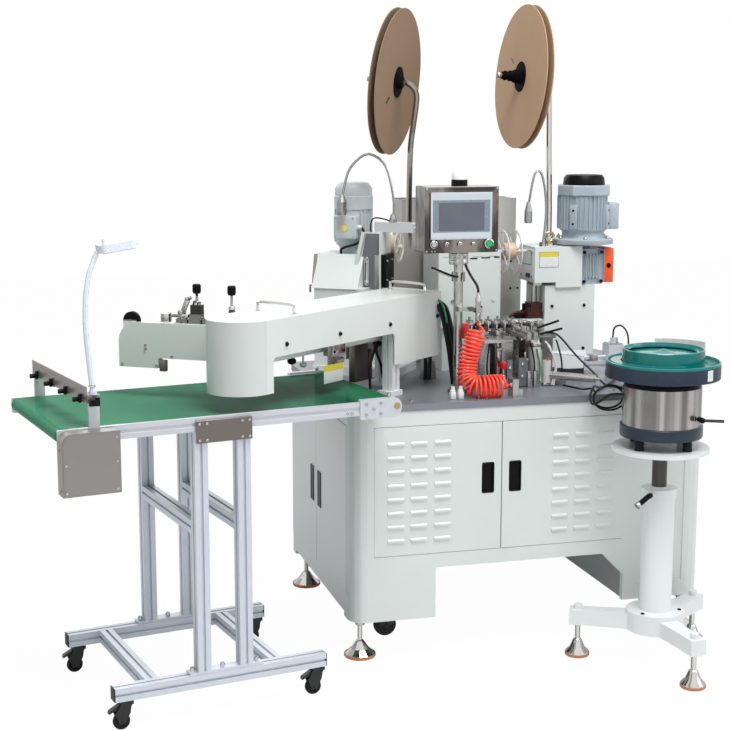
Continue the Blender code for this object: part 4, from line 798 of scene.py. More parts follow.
def make_finishes(colours, enamel_colour):
    """Fills FINISHES, each under its own name."""
    upright = (9.0, 9.0, 0.3)
    level = (0.3, 9.0, 9.0)
    for name, make, *values in (
        ("enamel", enamel, enamel_colour),
        ("arm_enamel", enamel, enamel_colour),
        ("straightener_enamel", enamel, enamel_colour),
        ("press_enamel", enamel, enamel_colour),
        ("lamp_white", enamel, tone(226, 232, 240), 0.3),
        ("white_enamel", enamel, tone(229, 233, 232), 0.3),
        ("table", brushed, tuple(colours.table), (0.1, 3.0, 3.0), 0.3, 0.45, 0.92, 0.0),
        ("chrome", polished, tone(216, 214, 210)),
        ("sheet_steel", brushed, tone(178, 175, 171), upright, 0.34, 0.8, 0.9, 0.25),
        ("cover_steel", brushed, tone(158, 153, 150), upright, 0.34, 0.8, 0.88, 0.1),
        ("gooseneck", polished, tone(172, 175, 176), 0.24, 0.8),
        ("left_motor_cast", cast, tone(202, 210, 213)),
        ("drum_steel", brushed, tone(204, 200, 198), upright, 0.22, 1.0, 0.85, 0.9),
        ("machined", brushed, tone(208, 207, 205), level, 0.24, 0.9, 0.8, 0.55),
        ("aluminium", brushed, tone(218, 221, 227), level, 0.36, 0.45, 0.94, 0.15),
        ("guide_bar", brushed, tone(214, 216, 220), level, 0.36, 0.5, 0.94, 0.15),
        ("reel_stand", brushed, tone(214, 216, 220), level, 0.36, 0.5, 0.94, 0.15),
        ("profile_upright", brushed, tone(218, 222, 232), upright, 0.38, 0.35, 0.94, 0.12),
        ("profile_level", brushed, tone(218, 222, 232), level, 0.38, 0.35, 0.94, 0.12),
        ("panel_steel", mirror_sheet, tone(162, 153, 147)),
        # painted reflection: the stand's chrome inner column is given a dark grey colour for the dark things
        # it mirrors
        ("column_steel", brushed, tone(84, 82, 80), upright, 0.26, 0.85, 0.8, 0.3),
        ("dark_steel", brushed, tone(128, 120, 113), level, 0.34, 0.75, 0.9, 0.1),
        ("belt", belt_sheet, tuple(colours.belt)),
        ("bowl", moulded, tuple(colours.bowl), 0.2, 0.5),
        ("bowl_rim", moulded, tone(42, 54, 68), 0.3, 0.1, 0.25),
        ("button", moulded, tone(30, 170, 96), 0.25, 0.4),
        ("black_plastic", moulded, tone(13, 13, 14), 0.38, 0.0, 0.1),
        ("knob_black", moulded, tone(13, 13, 14), 0.38, 0.0, 0.1),
        ("hub_black", moulded, tone(15, 15, 16), 0.6, 0.0, 0.02),
        ("rubber", moulded, tone(22, 22, 23), 0.6, 0.0, 0.2),
        ("motor", cast, tuple(colours.motor)),
        ("brown_block", moulded, tone(66, 34, 27), 0.34, 0.0, 0.3),
        # painted light and shade: both reels have the same board, painted darker on the left reel and
        # lighter on the right one
        ("left_reel_board", board, shade_of(tuple(colours.reel), 0.62)),
        ("right_reel_board", board, shade_of(tuple(colours.reel), 1.2)),
        ("board_edge", board, tone(112, 80, 60)),
        ("clear", clear_plastic, tone(232, 232, 230)),
        ("wound_strip", brushed, tone(214, 186, 160), (1.0, 9.0, 9.0), 0.45, 0.1, 0.88, 0.0),
        ("red_hose", moulded, tuple(colours.hose), 0.22, 0.3),
        ("black_cable", moulded, tone(15, 15, 16), 0.38, 0.0, 0.25),
        ("orange", moulded, tone(238, 88, 40), 0.34, 0.1),
        ("pad", moulded, tone(196, 120, 84), 0.55),
        ("brass", polished, tone(190, 172, 132), 0.18, 0.5),
        ("screw", polished, tone(206, 206, 206), 0.18, 0.7),
        ("dark_screw", moulded, tone(17, 17, 18), 0.34, 0.0, 0.12),
        ("white_plastic", moulded, tone(228, 230, 230), 0.3, 0.1),
        ("bezel", moulded, tone(196, 203, 210), 0.3, 0.1),
        ("bezel_strip", moulded, tone(122, 138, 150), 0.26, 0.1),
        ("screen", screen_glass),
        ("red_plastic", moulded, tone(214, 34, 30), 0.26, 0.3),
        ("green_tube", moulded, tone(30, 140, 92), 0.26, 0.2),
        ("lamp_dome", moulded, tone(232, 236, 240), 0.2, 0.4),
        ("sticker", moulded, tone(240, 214, 70), 0.36),
        ("dark_sheet", moulded, tone(46, 48, 50), 0.4, 0.0, 0.15),
        ("smoked", moulded, tone(112, 115, 118), 0.3, 0.0, 0.3),
        # painted shade for the walls of the truck way
        ("inner_wall", moulded, tone(158, 160, 160), 0.5, 0.0, 0.2),
        ("pull_plate", caution_plate, 0.958),
        ("press_plate", caution_plate, 1.237),
    ):
        FINISHES[name] = make(name, *values)


def paint_parts(enamel_colour):
    """Paints the parts of a solid that have another finish than the rest, and paints shade on the cabinet's
    left side and light on the hopper.
    """
    black = tone(16, 16, 17)
    # painted shade: enamel at the cabinet's left side and left of it is painted darker, most of all low down
    walls = FINISHES["enamel"]
    side = 1 - walls.axis("X").between(CABINET[0].x, CABINET[0].x + 0.045)
    shaded = walls.mix(
        walls.axis("Z").between(0.25, 0.8), shade_of(enamel_colour, 0.7), shade_of(enamel_colour, 0.88)
    )
    walls.painted(side, shaded, 0.3)
    # painted light: sheet steel right of the cabinet's middle, on the rear hopper, is painted lighter
    sheet = FINISHES["sheet_steel"]
    lit = sheet.axis("X").between(CABINET_CENTRE.x - 0.06, CABINET_CENTRE.x + 0.1)
    sheet.painted(lit, tone(214, 212, 208), 0.34, 0.8)
    arm = FINISHES["arm_enamel"]
    arm.painted(arm.axis("Z").above(1.1535), tone(206, 204, 200), 0.16, 1.0)
    rollers = FINISHES["straightener_enamel"]
    rollers.painted(rollers.axis("Z").above(1.1162), tone(150, 148, 145), 0.16, 1.0)
    rollers.painted(rollers.axis("Z").above(1.144), tone(22, 22, 23), 0.25, 0.0)
    near = rollers.axis("Y", rollers.local(STRAIGHTENER_AXES)).above(0.0118)
    left = 1 - rollers.axis("X", rollers.local(STRAIGHTENER_AXES)).above(-0.3138)
    rollers.painted(near * left, tone(22, 22, 23), 0.3, 0.0)
    stems = FINISHES["knob_black"]
    stems.painted(1 - stems.axis("Z").above(1.1985), tone(168, 166, 163), 0.16, 1.0)
    press = FINISHES["press_enamel"]
    press.painted(
        1 - press.axis("X", press.local(LEFT_PRESS_AXES)).above(-0.1985), tone(150, 146, 142), 0.24, 1.0
    )
    casters = FINISHES["profile_level"]
    casters.painted(1 - casters.axis("Z").above(0.0872), black, 0.35)
    bar = FINISHES["guide_bar"]
    bar.painted(bar.axis("Z").above(0.9545), tone(158, 152, 146), 0.3, 0.7)
    stand = FINISHES["reel_stand"]
    pole = stand.either(
        stand.axis("Z").above(1.367), stand.axis("Y", stand.local(LEFT_PRESS_AXES)).above(-0.0122)
    )
    stand.painted(pole, tone(150, 146, 140), 0.14, 1.0)
    drum = FINISHES["drum_steel"]
    across = drum.axis("X") - (CABINET_CENTRE.x + BOWL.x)
    deep = drum.axis("Y") - (CABINET_CENTRE.y + BOWL.y)
    drum.painted((across * across + deep * deep).above(0.1245 ** 2), black, 0.35)


def dress_solids():
    """Gives every solid of the frame its finish."""
    for finish, nodes in NODE_FINISHES.items():
        for node in nodes:
            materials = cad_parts[node].data.materials
            materials.clear()
            materials.append(finish_named(finish))


class MACHINE_OT_finishes(bpy.types.Operator):
    """Make every finish and give each solid its own"""

    bl_idname = "machine.finishes"
    bl_label = "Finishes"

    def execute(self, context):
        colours = context.scene.machine_finishes
        enamel_colour = tuple(colours.enamel)
        make_finishes(colours, enamel_colour)
        paint_parts(enamel_colour)
        dress_solids()
        return {"FINISHED"}


def coil_hose(settings):
    """The hose's coil, wound round the line of its solid and narrowing at both ends."""
    line = smooth_path(
        ((*HOSE_TOP, 1.079), (-0.1646, -0.36, 1.048), (-0.178, -0.362, 1.013), (-0.191, -0.363, 0.9775),
         (-0.201, -0.366, 0.932), (-0.205, -0.376, 0.897), (-0.192, -0.393, 0.873), (-0.16, -0.402, 0.87),
         (-0.128, -0.404, 0.87), (-0.09, -0.402, 0.87), (-0.0668, -0.402, 0.87)), 12
    )
    path = [line[0]]
    side = Vector((1, 0, 0))
    angle = 0.0
    travelled = 0.0
    whole = length_of(line)
    for start, end in zip(line, line[1:]):
        ahead = (end - start).normalized()
        side = (side - side.project(ahead)).normalized()
        other = ahead.cross(side)
        step = (end - start).length
        slices = max(1, round(step / settings.pitch * 14))
        for i in range(slices):
            along = travelled + step * (i + 0.5) / slices
            spread = min(1, max(0, (along - 0.01) / 0.034), max(0, (whole - 0.006 - along) / 0.03))
            reach = settings.coil * spread * spread * (3 - 2 * spread)
            reach *= 1 + 0.2 * min(1, max(0, (along / whole - 0.55) / 0.2))
            angle += 2 * math.pi * step / slices / settings.pitch * spread ** 3
            centre = start.lerp(end, (i + 0.5) / slices)
            path.append(centre + (side * math.cos(angle) + other * math.sin(angle)) * reach)
        travelled += step
    path.append(line[-1])
    hose = tubing("air_hose", [path], settings.tube / 2, "red_hose")
    CABINET_AXES @ path[0]
    length_of(path)
    return hose


def spare_cable():
    """The slack of the track's cable, looped over the table's front edge beside the bowl."""
    path = [(0.16, -0.3, 0.842), (0.18, -0.36, 0.842), (0.186, -0.41, 0.846), (0.196, -0.452, 0.856)]
    for i in range(27):
        angle = math.radians(150 - 30 * i)
        grow = 1.0 + 0.01 * i
        path.append((
            0.246 + 0.05 * grow * math.cos(angle), -0.464 - 0.0012 * i, 0.83 + 0.034 * grow * math.sin(angle)
        ))
    path += [(0.318, -0.5, 0.846), (0.34, -0.52, 0.852)]
    leads("spare_cable", [smooth_path(path, 4)], 0.0034, "black_cable")


def feeder_cable():
    """The feeder's cable, from the drum to the track over the table."""
    x, y = BOWL.x, BOWL.y
    path = smooth_path(
        ((x - 0.1045, y + 0.065, 0.862), (x - 0.1206, y + 0.075, 0.862), (x - 0.14, y + 0.088, 0.857),
         (x - 0.16, y + 0.106, 0.836), (x - 0.174, y + 0.135, 0.822), (x - 0.165, y + 0.175, 0.84),
         (x - 0.135, y + 0.215, 0.862), (x - 0.1, y + 0.26, 0.85), (x - 0.06, y + 0.31, 0.8405),
         (x + 0, y + 0.38, 0.8405), (x + 0.05, y + 0.44, 0.845), (x + 0.078, y + 0.476, 0.868),
         (x + 0.085, y + 0.4985, 0.884)), 4
    )
    feed = tubing("feeder_lead", [path], 0.004, "black_cable")
    CABINET_AXES @ path[0]
    length_of(path)
    return feed


class MACHINE_OT_cords(bpy.types.Operator):
    """Lay the coiled air hose and the feeder's cable along the routes of their solids"""

    bl_idname = "machine.cords"
    bl_label = "Cords"

    def execute(self, context):
        settings = context.scene.machine_hose
        hose = coil_hose(settings)
        feed = feeder_cable()
        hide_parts("air_hose_coil")
        spare_cable()
        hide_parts("feeder_cable")
        return {"FINISHED"}


def fit_pulls_and_feet():
    """Door pulls, foot pads with their nuts, and grey sheets that paint shade on the walls of the truck way.
    """
    for body, span in (("front_door_left", (-0.178, -0.135)), ("front_door_right", (-0.0855, -0.0425))):
        cup = block(
            (span[0] + 0.0008, DOOR_FACE - 0.0016, 0.5318), (span[1] - 0.0008, DOOR_FACE + 0.0075, 0.6322),
            0.004, 3
        )
        pushed_in(cup, (0, -1, 0), 0.0022, 0.006)
        piece(f"{body}_pull", [cup], "black_plastic", body)
    for body, span in (("side_door_front", (-0.036, -0.012)), ("side_door_rear", (0.068, 0.092))):
        cup = block(
            (SIDE_FACE + 0.0001, span[0] + 0.0008, 0.4138), (SIDE_FACE + 0.0075, span[1] - 0.0008, 0.5262),
            0.003, 3
        )
        rim = block(
            (SIDE_FACE - 0.0022, span[0] - 0.01, 0.408), (SIDE_FACE - 0.0001, span[1] + 0.01, 0.532), 0.0009,
            2
        )
        pushed_in(cup, (-1, 0, 0), 0.0018, 0.006)
        pushed_in(rim, (-1, 0, 0), 0.004, 0.001)
        piece(f"{body}_pull", [cup, rim], "black_plastic", body)
    pads = []
    nuts = []
    for x in (-0.565, 0.565):
        for y in (-0.385, 0.385):
            pads.append(turned(
                ((0, 0.0002), (0.049, 0.0002), (0.0515, 0.003), (0.0515, 0.0095), (0.05, 0.0115)), (x, y, 0)
            ))
            nuts.append(hex_nut((x, y, 0.1105), radius=0.0165, height=0.01))
    # painted shade: grey sheets over the truck way's walls under the cabinet
    inner = [
        block((x - 0.0015, -0.444, 0.134), (x + 0.0015, 0.444, 0.306), 0.0005, 1) for x in (-0.335, 0.329)
    ]
    piece("truck_way_shade_sheets", inner, "inner_wall")
    piece("foot_pads", pads, "pad")
    piece("foot_nuts", nuts, "screw")


def fit_casters():
    """Retracted casters beside the feet. Their wheels hang clear of the floor."""
    wheels = []
    forks = []
    for x in (-0.47, 0.47):
        for y in (-0.385, 0.385):
            wheels.append(turned(
                ((0.006, -0.013), (0.03, -0.013), (0.036, -0.01), (0.037, 0), (0.036, 0.01), (0.03, 0.013),
                 (0.006, 0.013), (0.006, -0.013)), (x - 0.012, y, 0.1), "Y", 32
            ))
            fork = block((x - 0.034, y - 0.02, 0.1), (x + 0.014, y + 0.02, 0.145), 0.004)
            forks.append(pushed_in(fork, (0, 0, -1), 0.004, 0.036))
            forks.append(block((x - 0.028, y - 0.026, 0.144), (x + 0.028, y + 0.026, 0.3096), 0.002))
            forks.append(rod(0.005, -0.024, 0.024, (x - 0.012, y, 0.1), "Y", 12))
    piece("cabinet_caster_wheels", wheels, "rubber")
    piece("cabinet_caster_forks", forks, "dark_sheet")


def fit_outlet():
    """Air outlet block's collars, and the two white fittings at the table's front edge."""
    collar = turned(
        ((0, -0.07), (0.0085, -0.07), (0.0095, -0.069), (0.0095, -0.066), (0, -0.066)), (0, -0.402, 0.87),
        "X", 24
    )
    piece("outlet_collar", [collar], "screw")
    skins = [
        block((-0.0664, -0.4244, TABLE_TOP), (-0.0456, -0.3796, 0.8924), 0.001, 1),
        block((-0.046, -0.4204, TABLE_TOP), (-0.0296, -0.3836, 0.8584), 0.001, 1)
    ]
    piece("outlet_skin", skins, "machined")
    fittings = []
    for x in (-0.262, -0.236):
        fittings.append(block((x - 0.009, -0.412, TABLE_TOP), (x + 0.009, -0.392, TABLE_TOP + 0.024), 0.003))
        fittings.append(turned(
            ((0, 0.022), (0.0085, 0.022), (0.0085, 0.028), (0.0065, 0.03), (0.0065, 0.04), (0, 0.04)),
            (x, -0.402, TABLE_TOP), "Z", 20
        ))
    piece("table_fittings", fittings, "white_plastic")
    wedge = block((-0.248, -0.038, TABLE_TOP), (-0.198, 0.002, TABLE_TOP + 0.064), 0.002)
    for vert in wedge.verts:
        vert.co.x += (0.004 if vert.co.x < -0.223 else -0.008) * (vert.co.z - TABLE_TOP) / 0.064
    piece("guide_foot", [wedge], "sheet_steel")
    places = ((0.5, -0.3), (0.5, 0.3), (-0.52, 0.4), (0, 0.43), (0.3, -0.4), (-0.4, -0.4), (0.58, 0))
    screws = [cap_screw((x, y, TABLE_TOP - 0.0005), "Z", 0.006, 0.0035) for x, y in places]
    piece("table_screws", screws, "screw")


class MACHINE_OT_cabinet(bpy.types.Operator):
    """Fit the cabinet's pulls, casters, foot pads and table fittings"""

    bl_idname = "machine.cabinet"
    bl_label = "Cabinet fittings"

    def execute(self, context):
        fit_pulls_and_feet()
        fit_casters()
        fit_outlet()
        return {"FINISHED"}


def fit_conveyor():
    """Wheels, screws, joint plates, bearings, end caps and guide clamps."""
    for number, (u, v) in enumerate(((-0.369, -0.248), (-0.369, 0.248), (0.229, -0.248), (0.229, 0.248)), 1):
        fit_wheel(number, u, v)
    screws = []
    for u in (-0.128, -0.106, 0.001, 0.023):
        for z in (0.8235, 0.871):
            for side in (-1, 1):
                screws.append(cap_screw((u, side * 0.2765, z), "Y", 0.0042, 0.0028, side))
    for u, z in (
        (0.398, 0.85), (0.398, 0.882), (0.422, 0.866), (0.446, 0.85), (0.446, 0.882), (0.338, 0.858),
        (0.352, 0.858)
    ):
        for side in (-1, 1):
            proud = 0.2742 if u > 0.37 else 0.269
            screws.append(cap_screw((u, side * proud, z), "Y", 0.0048, 0.003, side))
    for u, z in ((-0.475, 0.855), (-0.475, 0.88)):
        for side in (-1, 1):
            screws.append(cap_screw((u, side * 0.2712, z), "Y", 0.0042, 0.003, side))
    for u, z in ((-0.522, 0.724), (-0.522, 0.8), (-0.381, 0.724), (-0.381, 0.8), (-0.381, 0.868)):
        screws.append(cap_screw((u, -0.3212, z), "Y", 0.0034, 0.002, -1))
    piece("conveyor_screws", screws, "screw", axes=CONVEYOR_AXES)

    plates = []
    for side in (-1, 1):
        near, far = sorted((side * 0.2738, side * 0.2765))
        plates.append(block((-0.1372, near, 0.8145), (0.0325, far, 0.8795), 0.0008, 1))
    piece("joint_plates", plates, "dark_steel", axes=CONVEYOR_AXES)

    bearings = []
    knobs = []
    for side in (-1, 1):
        bearing = turned(
            ((0, 0), (0.0085, 0), (0.01, 0.0012), (0.01, 0.003), (0.006, 0.0036), (0, 0.002)),
            (0.5, 0.2738, 0.8687), "Y", 28
        )
        if side < 0:
            tilted(bearing, 180, "Z", (0.5, 0, 0))
        bearings.append(bearing)
        knobs.append(rod(0.006, 0, 0.01, (0.478, side * 0.262, 0.8975), "Z", 16, 0.001))
    piece("roller_bearings", bearings, "brass", axes=CONVEYOR_AXES)
    piece("tension_knobs", knobs, "screw", axes=CONVEYOR_AXES)

    covers = []
    for near, far in ((-0.39 - 0.003, -0.39), (0.265, 0.265 + 0.003)):
        for v in (-0.248, 0.248):
            covers.append(block((near, v - 0.0195, 0.0885), (far, v + 0.0195, 0.1275), 0.001))
    piece("profile_caps", covers, "dark_sheet", axes=CONVEYOR_AXES)

    clamps = []
    for v in (-0.215, -0.08, 0.06, 0.205):
        u = -0.4455 - 0.0363 * (v + 0.262)
        clamps.append(block((u - 0.008, v - 0.008, 0.95), (u - 0.0003, v + 0.008, 0.974), 0.002))
        clamps.append(rod(0.007, u - 0.024, u - 0.008, (0, v, 0.96), "X", 16, 0.0015))
    clamps.append(block((-0.444, -0.2925, 0.95), (-0.415, -0.2775, 0.968), 0.002))
    clamps.append(rod(0.007, 0.968, 0.974, (-0.42, -0.285, 0), "Z", 16, 0.001))
    piece("guide_clamps", clamps, "dark_screw", axes=CONVEYOR_AXES)
    feet = [
        cap_screw((u, v, 0.1423), "Z", 0.0068, 0.006) for u in (-0.153, -0.06, 0.046)
        for v in (-0.248, 0.248)
    ]
    piece("leg_bolts", feet, "screw", axes=CONVEYOR_AXES)


def fit_wheel(number, u, v):
    """Twin-shoulder caster wheel with a dished hub, in place of the plain ring."""
    tyre = turned(
        ((0.013, -0.0085), (0.0205, -0.0088), (0.0238, -0.007), (0.025, -0.0035), (0.025, 0.0035),
         (0.0238, 0.007), (0.0205, 0.0088), (0.013, 0.0085)), (u, v, 0.025), "Y", 44
    )
    piece(
        f"wheel_tyre_{number}", [tyre], "rubber", f"caster_wheel_{number}", CONVEYOR_AXES,
        (f"caster_wheel_{number}",)
    )
    hub = turned(
        ((0.005, -0.009), (0.0075, -0.0092), (0.009, -0.006), (0.0132, -0.0072), (0.0132, 0.0072),
         (0.009, 0.006), (0.0075, 0.0092), (0.005, 0.009), (0.005, -0.009)), (u, v, 0.025), "Y", 32
    )
    piece(f"wheel_hub_{number}", [hub], "black_plastic", f"caster_wheel_{number}", CONVEYOR_AXES)


def fit_lamp():
    """Lens under the belt lamp's head, and a ring at its foot."""
    lens = block((-0.392, -0.277, 1.3585), (-0.3, -0.231, 1.3625), 0.0015)
    tilted(lens, -8, "Y", (-0.395, -0.252, 1.372))
    piece("belt_lamp_lens", [lens], "lamp_dome", axes=CONVEYOR_AXES)
    ring = turned(
        ((0.0085, 1.0005), (0.01, 1.0005), (0.0105, 1.003), (0.0085, 1.004), (0.0085, 1.0005)),
        (-0.4285, -0.2615, 0), "Z", 20
    )
    piece("belt_lamp_ring", [ring], "screw", axes=CONVEYOR_AXES)


class MACHINE_OT_conveyor(bpy.types.Operator):
    """Fit the conveyor's wheels, screws, plates and guide"""

    bl_idname = "machine.conveyor"
    bl_label = "Conveyor fittings"

    def execute(self, context):
        fit_conveyor()
        fit_lamp()
        return {"FINISHED"}


def fit_arm_screws():
    """Side screws with washers, the handles' feet and the wing knobs."""
    studs = []
    washers = []
    for s, z in ((0.0896, 1.0754), (0.3464, 1.0751), (0.6102, 1.0742), (0.8818, 1.0728)):
        for side in (-1, 1):
            low, high = sorted((0, side * 0.0012))
            washers.append(rod(0.0078, low, high, (s, side * 0.0987, z), "Y", 20))
            studs.append(cap_screw((s, side * 0.0998, z), "Y", 0.0052, 0.0045, side))
    piece("arm_screw_washers", washers, "screw", axes=ARM_AXES)
    piece("arm_screws", studs, "dark_screw", axes=ARM_AXES)

    feet = []
    for s in (0.16, 0.85):
        for t in (-0.07, 0.07):
            feet.append(turned(
                ((0.0048, 0.0003), (0.0085, 0.0003), (0.0085, 0.0018), (0.006, 0.003), (0.0048, 0.003),
                 (0.0048, 0.0003)), (s, t, ARM_TOP), "Z", 20
            ))
    piece("handle_feet", feet, "screw", axes=ARM_AXES)

    knobs = []
    for s in (0.241, 0.46, 0.687):
        knobs.append(turned(
            ((0, 0.985), (0.005, 0.985), (0.0125, 0.989), (0.0138, 0.994), (0.0138, 0.9985), (0.009, 1.004),
             (0.005, 1.0098), (0, 1.0098)), (s, 0.005, 0), "Z", 18
        ))
    piece("arm_wing_knobs", knobs, "black_plastic", axes=ARM_AXES)


def round_nose():
    """A smooth skin round the arm's half-round end."""
    shape = bmesh.new()
    section = ((0.0978, 0.9404), (0.0988, 0.9404), (0.0988, 1.152), (0.0978, 1.152))
    ring = [shape.verts.new((0, reach, z)) for reach, z in section]
    bmesh.ops.spin(
        shape, geom=[shape.faces.new(ring)], cent=(0, 0, 0), axis=(0, 0, 1), dvec=(0, 0, 0), angle=math.pi,
        steps=64, use_merge=False, use_duplicate=False
    )
    bmesh.ops.recalc_face_normals(shape, faces=shape.faces)
    piece("arm_nose", [shape], "enamel", axes=ARM_AXES)


def hang_plate():
    """Bare plate that hangs under the arm's beam, with its bent bracket."""
    plate = block((0.307, -0.0672, 0.922), (0.403, -0.0658, 0.978), 0.0005)
    piece("arm_hanging_plate", [plate], "pull_plate", axes=ARM_AXES)
    bracket = [
        block((0.33, -0.0657, 0.95), (0.344, -0.0645, 1.056), 0.0004, 1),
        block((0.33, -0.096, 1.0545), (0.344, -0.0645, 1.056), 0.0004, 1)
    ]
    piece("arm_plate_bracket", bracket, "screw", axes=ARM_AXES)


def run_hoses():
    """Hoses that drop from the arm's right end to the table, and the short ones under the bridge."""
    drop = []
    for t in (-0.004, 0.014):
        drop.append(smooth_path(
            ((0.905, t * 0.7, 1.052), (0.925, t, 1.06), (0.954, t - 0.004, 1.045), (0.968, t - 0.01, 1),
             (0.968, t - 0.012, 0.94), (0.962, t - 0.014, 0.88), (0.96, t - 0.014, TABLE_TOP + 0.004)), 6
        ))
    leads("arm_hose", drop, 0.0065, "black_cable", axes=ARM_AXES)
    bundle = []
    for i in range(3):
        shift = 0.0125 * (i - 1)
        bundle.append(smooth_path(
            ((-0.262 + shift * 0.3, -0.105, 1.118), (-0.243 + shift * 0.6, -0.14, 1.121),
             (-0.226 + shift, -0.168, 1.104), (-0.2138 + shift, -0.176, 1.07),
             (-0.203 + shift, -0.178, 1.02), (-0.19 + shift, -0.176, 0.955), (-0.179 + shift, -0.172, 0.885),
             (-0.172 + shift, -0.168, TABLE_TOP + 0.004)), 7
        ))
    leads("arm_cable", bundle, 0.006, "black_cable")
    green = smooth_path(
        ((-0.26, -0.112, 1.13), (-0.243, -0.148, 1.133), (-0.228, -0.182, 1.112), (-0.219, -0.186, 1.084),
         (-0.212, -0.184, 1.05)), 7
    )
    leads("arm_green_tube", [green], 0.0036, "green_tube")
    loops = [
        smooth_path(
            ((0.655, -0.01, 1.012), (0.6493, -0.018, 1.0027), (0.6272, -0.02, 0.9663),
             (0.6107, -0.02, 0.9358), (0.609, -0.02, 0.9), (0.6108, -0.02, 0.8737),
             (0.614, -0.02, TABLE_TOP + 0.005)), 6
        ),
        smooth_path(
            ((0.664, -0.014, 1.012), (0.652, -0.02, 1), (0.6438, -0.022, 0.974), (0.6719, -0.02, 0.9276),
             (0.6833, -0.02, 0.883), (0.71, -0.02, 0.854), (0.735, -0.02, TABLE_TOP + 0.005)), 6
        )
    ]
    slab = [
        block((0.617, 0.045, 0.87), (0.69, 0.07, 1), 0.002),
        block((0.695, 0.045, 0.87), (0.715, 0.065, 0.97), 0.002)
    ]
    piece("bridge_slab", slab, "dark_steel", axes=ARM_AXES)
    leads("bridge_hose", loops, 0.0045, "black_cable", axes=ARM_AXES)


def fit_gripper():
    """Jaws, clamp plate, pin and screws of the pulling gripper."""
    carriage = [
        block((0.358, -0.0625, 1.006), (0.422, -0.0595, 1.044), 0.001),
        block((0.368, -0.057, 0.938), (0.3815, -0.034, 0.945), 0.001),
        block((0.3985, -0.057, 0.938), (0.412, -0.034, 0.945), 0.001),
        rod(0.0055, 0, 0.012, (0.366, -0.06, 1.024), "Y", 16)
    ]
    piece("gripper_jaws", carriage, "screw", "pull_clamp", ARM_AXES)
    screws = [
        cap_screw((s, -0.0625, z), "Y", 0.0038, 0.003, -1) for s in (0.366, 0.414) for z in (1.013, 1.037)
    ]
    piece("gripper_screws", screws, "dark_screw", "pull_clamp", ARM_AXES)


class MACHINE_OT_arm(bpy.types.Operator):
    """Fit the wire arm's screws, knobs, plate, hoses and gripper"""

    bl_idname = "machine.arm"
    bl_label = "Wire arm fittings"

    def execute(self, context):
        fit_arm_screws()
        round_nose()
        hang_plate()
        run_hoses()
        fit_gripper()
        return {"FINISHED"}


def fit_straightener():
    """Rollers, screws, links, shoe, and the collars and ribs of the knobs."""
    rings = []
    for i in range(6):
        u = -0.18 + 0.0215 * i
        low = 0.0445
        rings.append(turned(
            ((0, low), (0.01, low), (0.0108, low + 0.001), (0.0108, low + 0.006), (0.007, low + 0.007),
             (0, low + 0.006)), (u, 0, 1.1225), "Y", 24
        ))
    piece("straightener_rollers", rings, "screw", axes=STRAIGHTENER_AXES)
    screws = []
    for u, z in (
        (-0.281, 1.047), (-0.281, 1.035), (-0.36, 0.986), (-0.246, 0.986), (-0.194, 1.0156), (-0.077, 1.015)
    ):
        screws.append(cap_screw((u, -0.0002, z), "Y", 0.0042, 0.003, -1))
    for u, z in ((-0.18, 1.075), (-0.13, 1.075), (-0.085, 1.075)):
        screws.append(cap_screw((u, 0.046, z), "Y", 0.004, 0.003, 1))
    piece("straightener_screws", screws, "screw", axes=STRAIGHTENER_AXES)
    cluster = [
        block((-0.236, 0.012, 1.116), (-0.208, 0.034, 1.144), 0.003),
        block((-0.202, 0.014, 1.133), (-0.146, 0.036, 1.144), 0.002),
        tilted(block((-0.178, 0.018, 1.14), (-0.164, 0.034, 1.2), 0.003), 24, "Y", (-0.171, 0.026, 1.142)),
        tilted(block((-0.166, 0.015, 1.15), (-0.156, 0.019, 1.19), 0.0015), 24, "Y", (-0.161, 0.017, 1.152)),
        rod(0.0085, 0.012, 0.04, (-0.171, 0, 1.148), "Y", 24, 0.001),
        rod(0.006, 0.012, 0.04, (-0.149, 0, 1.19), "Y", 20, 0.001),
        block((-0.042, 0.042, 1.116), (-0.006, 0.068, 1.14), 0.003),
        rod(0.008, 0.04, 0.07, (-0.034, 0, 1.142), "Y", 24, 0.001)
    ]
    piece("straightener_links", cluster, "chrome", axes=STRAIGHTENER_AXES)
    shoe = [block((-0.235, -0.004, 0.97), (-0.214, 0.012, 1.004), 0.0015)]
    piece("straightener_shoe", shoe, "dark_steel", axes=STRAIGHTENER_AXES)
    towers = []
    for (u, v), top in zip(PRESSURE_KNOBS, (1.172, 1.158)):
        towers.append(turned(
            ((0.0048, top), (0.01, top), (0.01, top + 0.006), (0.0072, top + 0.01), (0.0048, top + 0.01),
             (0.0048, top)), (u, v, 0), "Z", 24
        ))
    piece("knob_collars", towers, "screw", axes=STRAIGHTENER_AXES)
    for number, (u, v), top in zip((1, 2), PRESSURE_KNOBS, (1.205, 1.2)):
        ribs = []
        for i in range(18):
            rib = block((0.0112, -0.0009, top + 0.006), (0.0127, 0.0009, top + 0.025), 0.0004, 1)
            ribs.append(moved(rib, about((u, v, 0), 2 * math.pi * i / 18)))
        piece(f"knob_ribs_{number}", ribs, "black_plastic", f"pressure_knob_{number}", STRAIGHTENER_AXES)
    hub = turned(
        ((0, 0.0302), (0.008, 0.0302), (0.008, 0.034), (0.006, 0.0355), (0, 0.0355)), (-0.336, 0, 1.117),
        "Y", 20
    )
    piece("guide_wheel_cap", [hub], "screw", "guide_wheel", STRAIGHTENER_AXES)


class MACHINE_OT_straightener(bpy.types.Operator):
    """Fit the straightener's rollers, posts and knob rings"""

    bl_idname = "machine.straightener"
    bl_label = "Straightener fittings"

    def execute(self, context):
        fit_straightener()
        return {"FINISHED"}


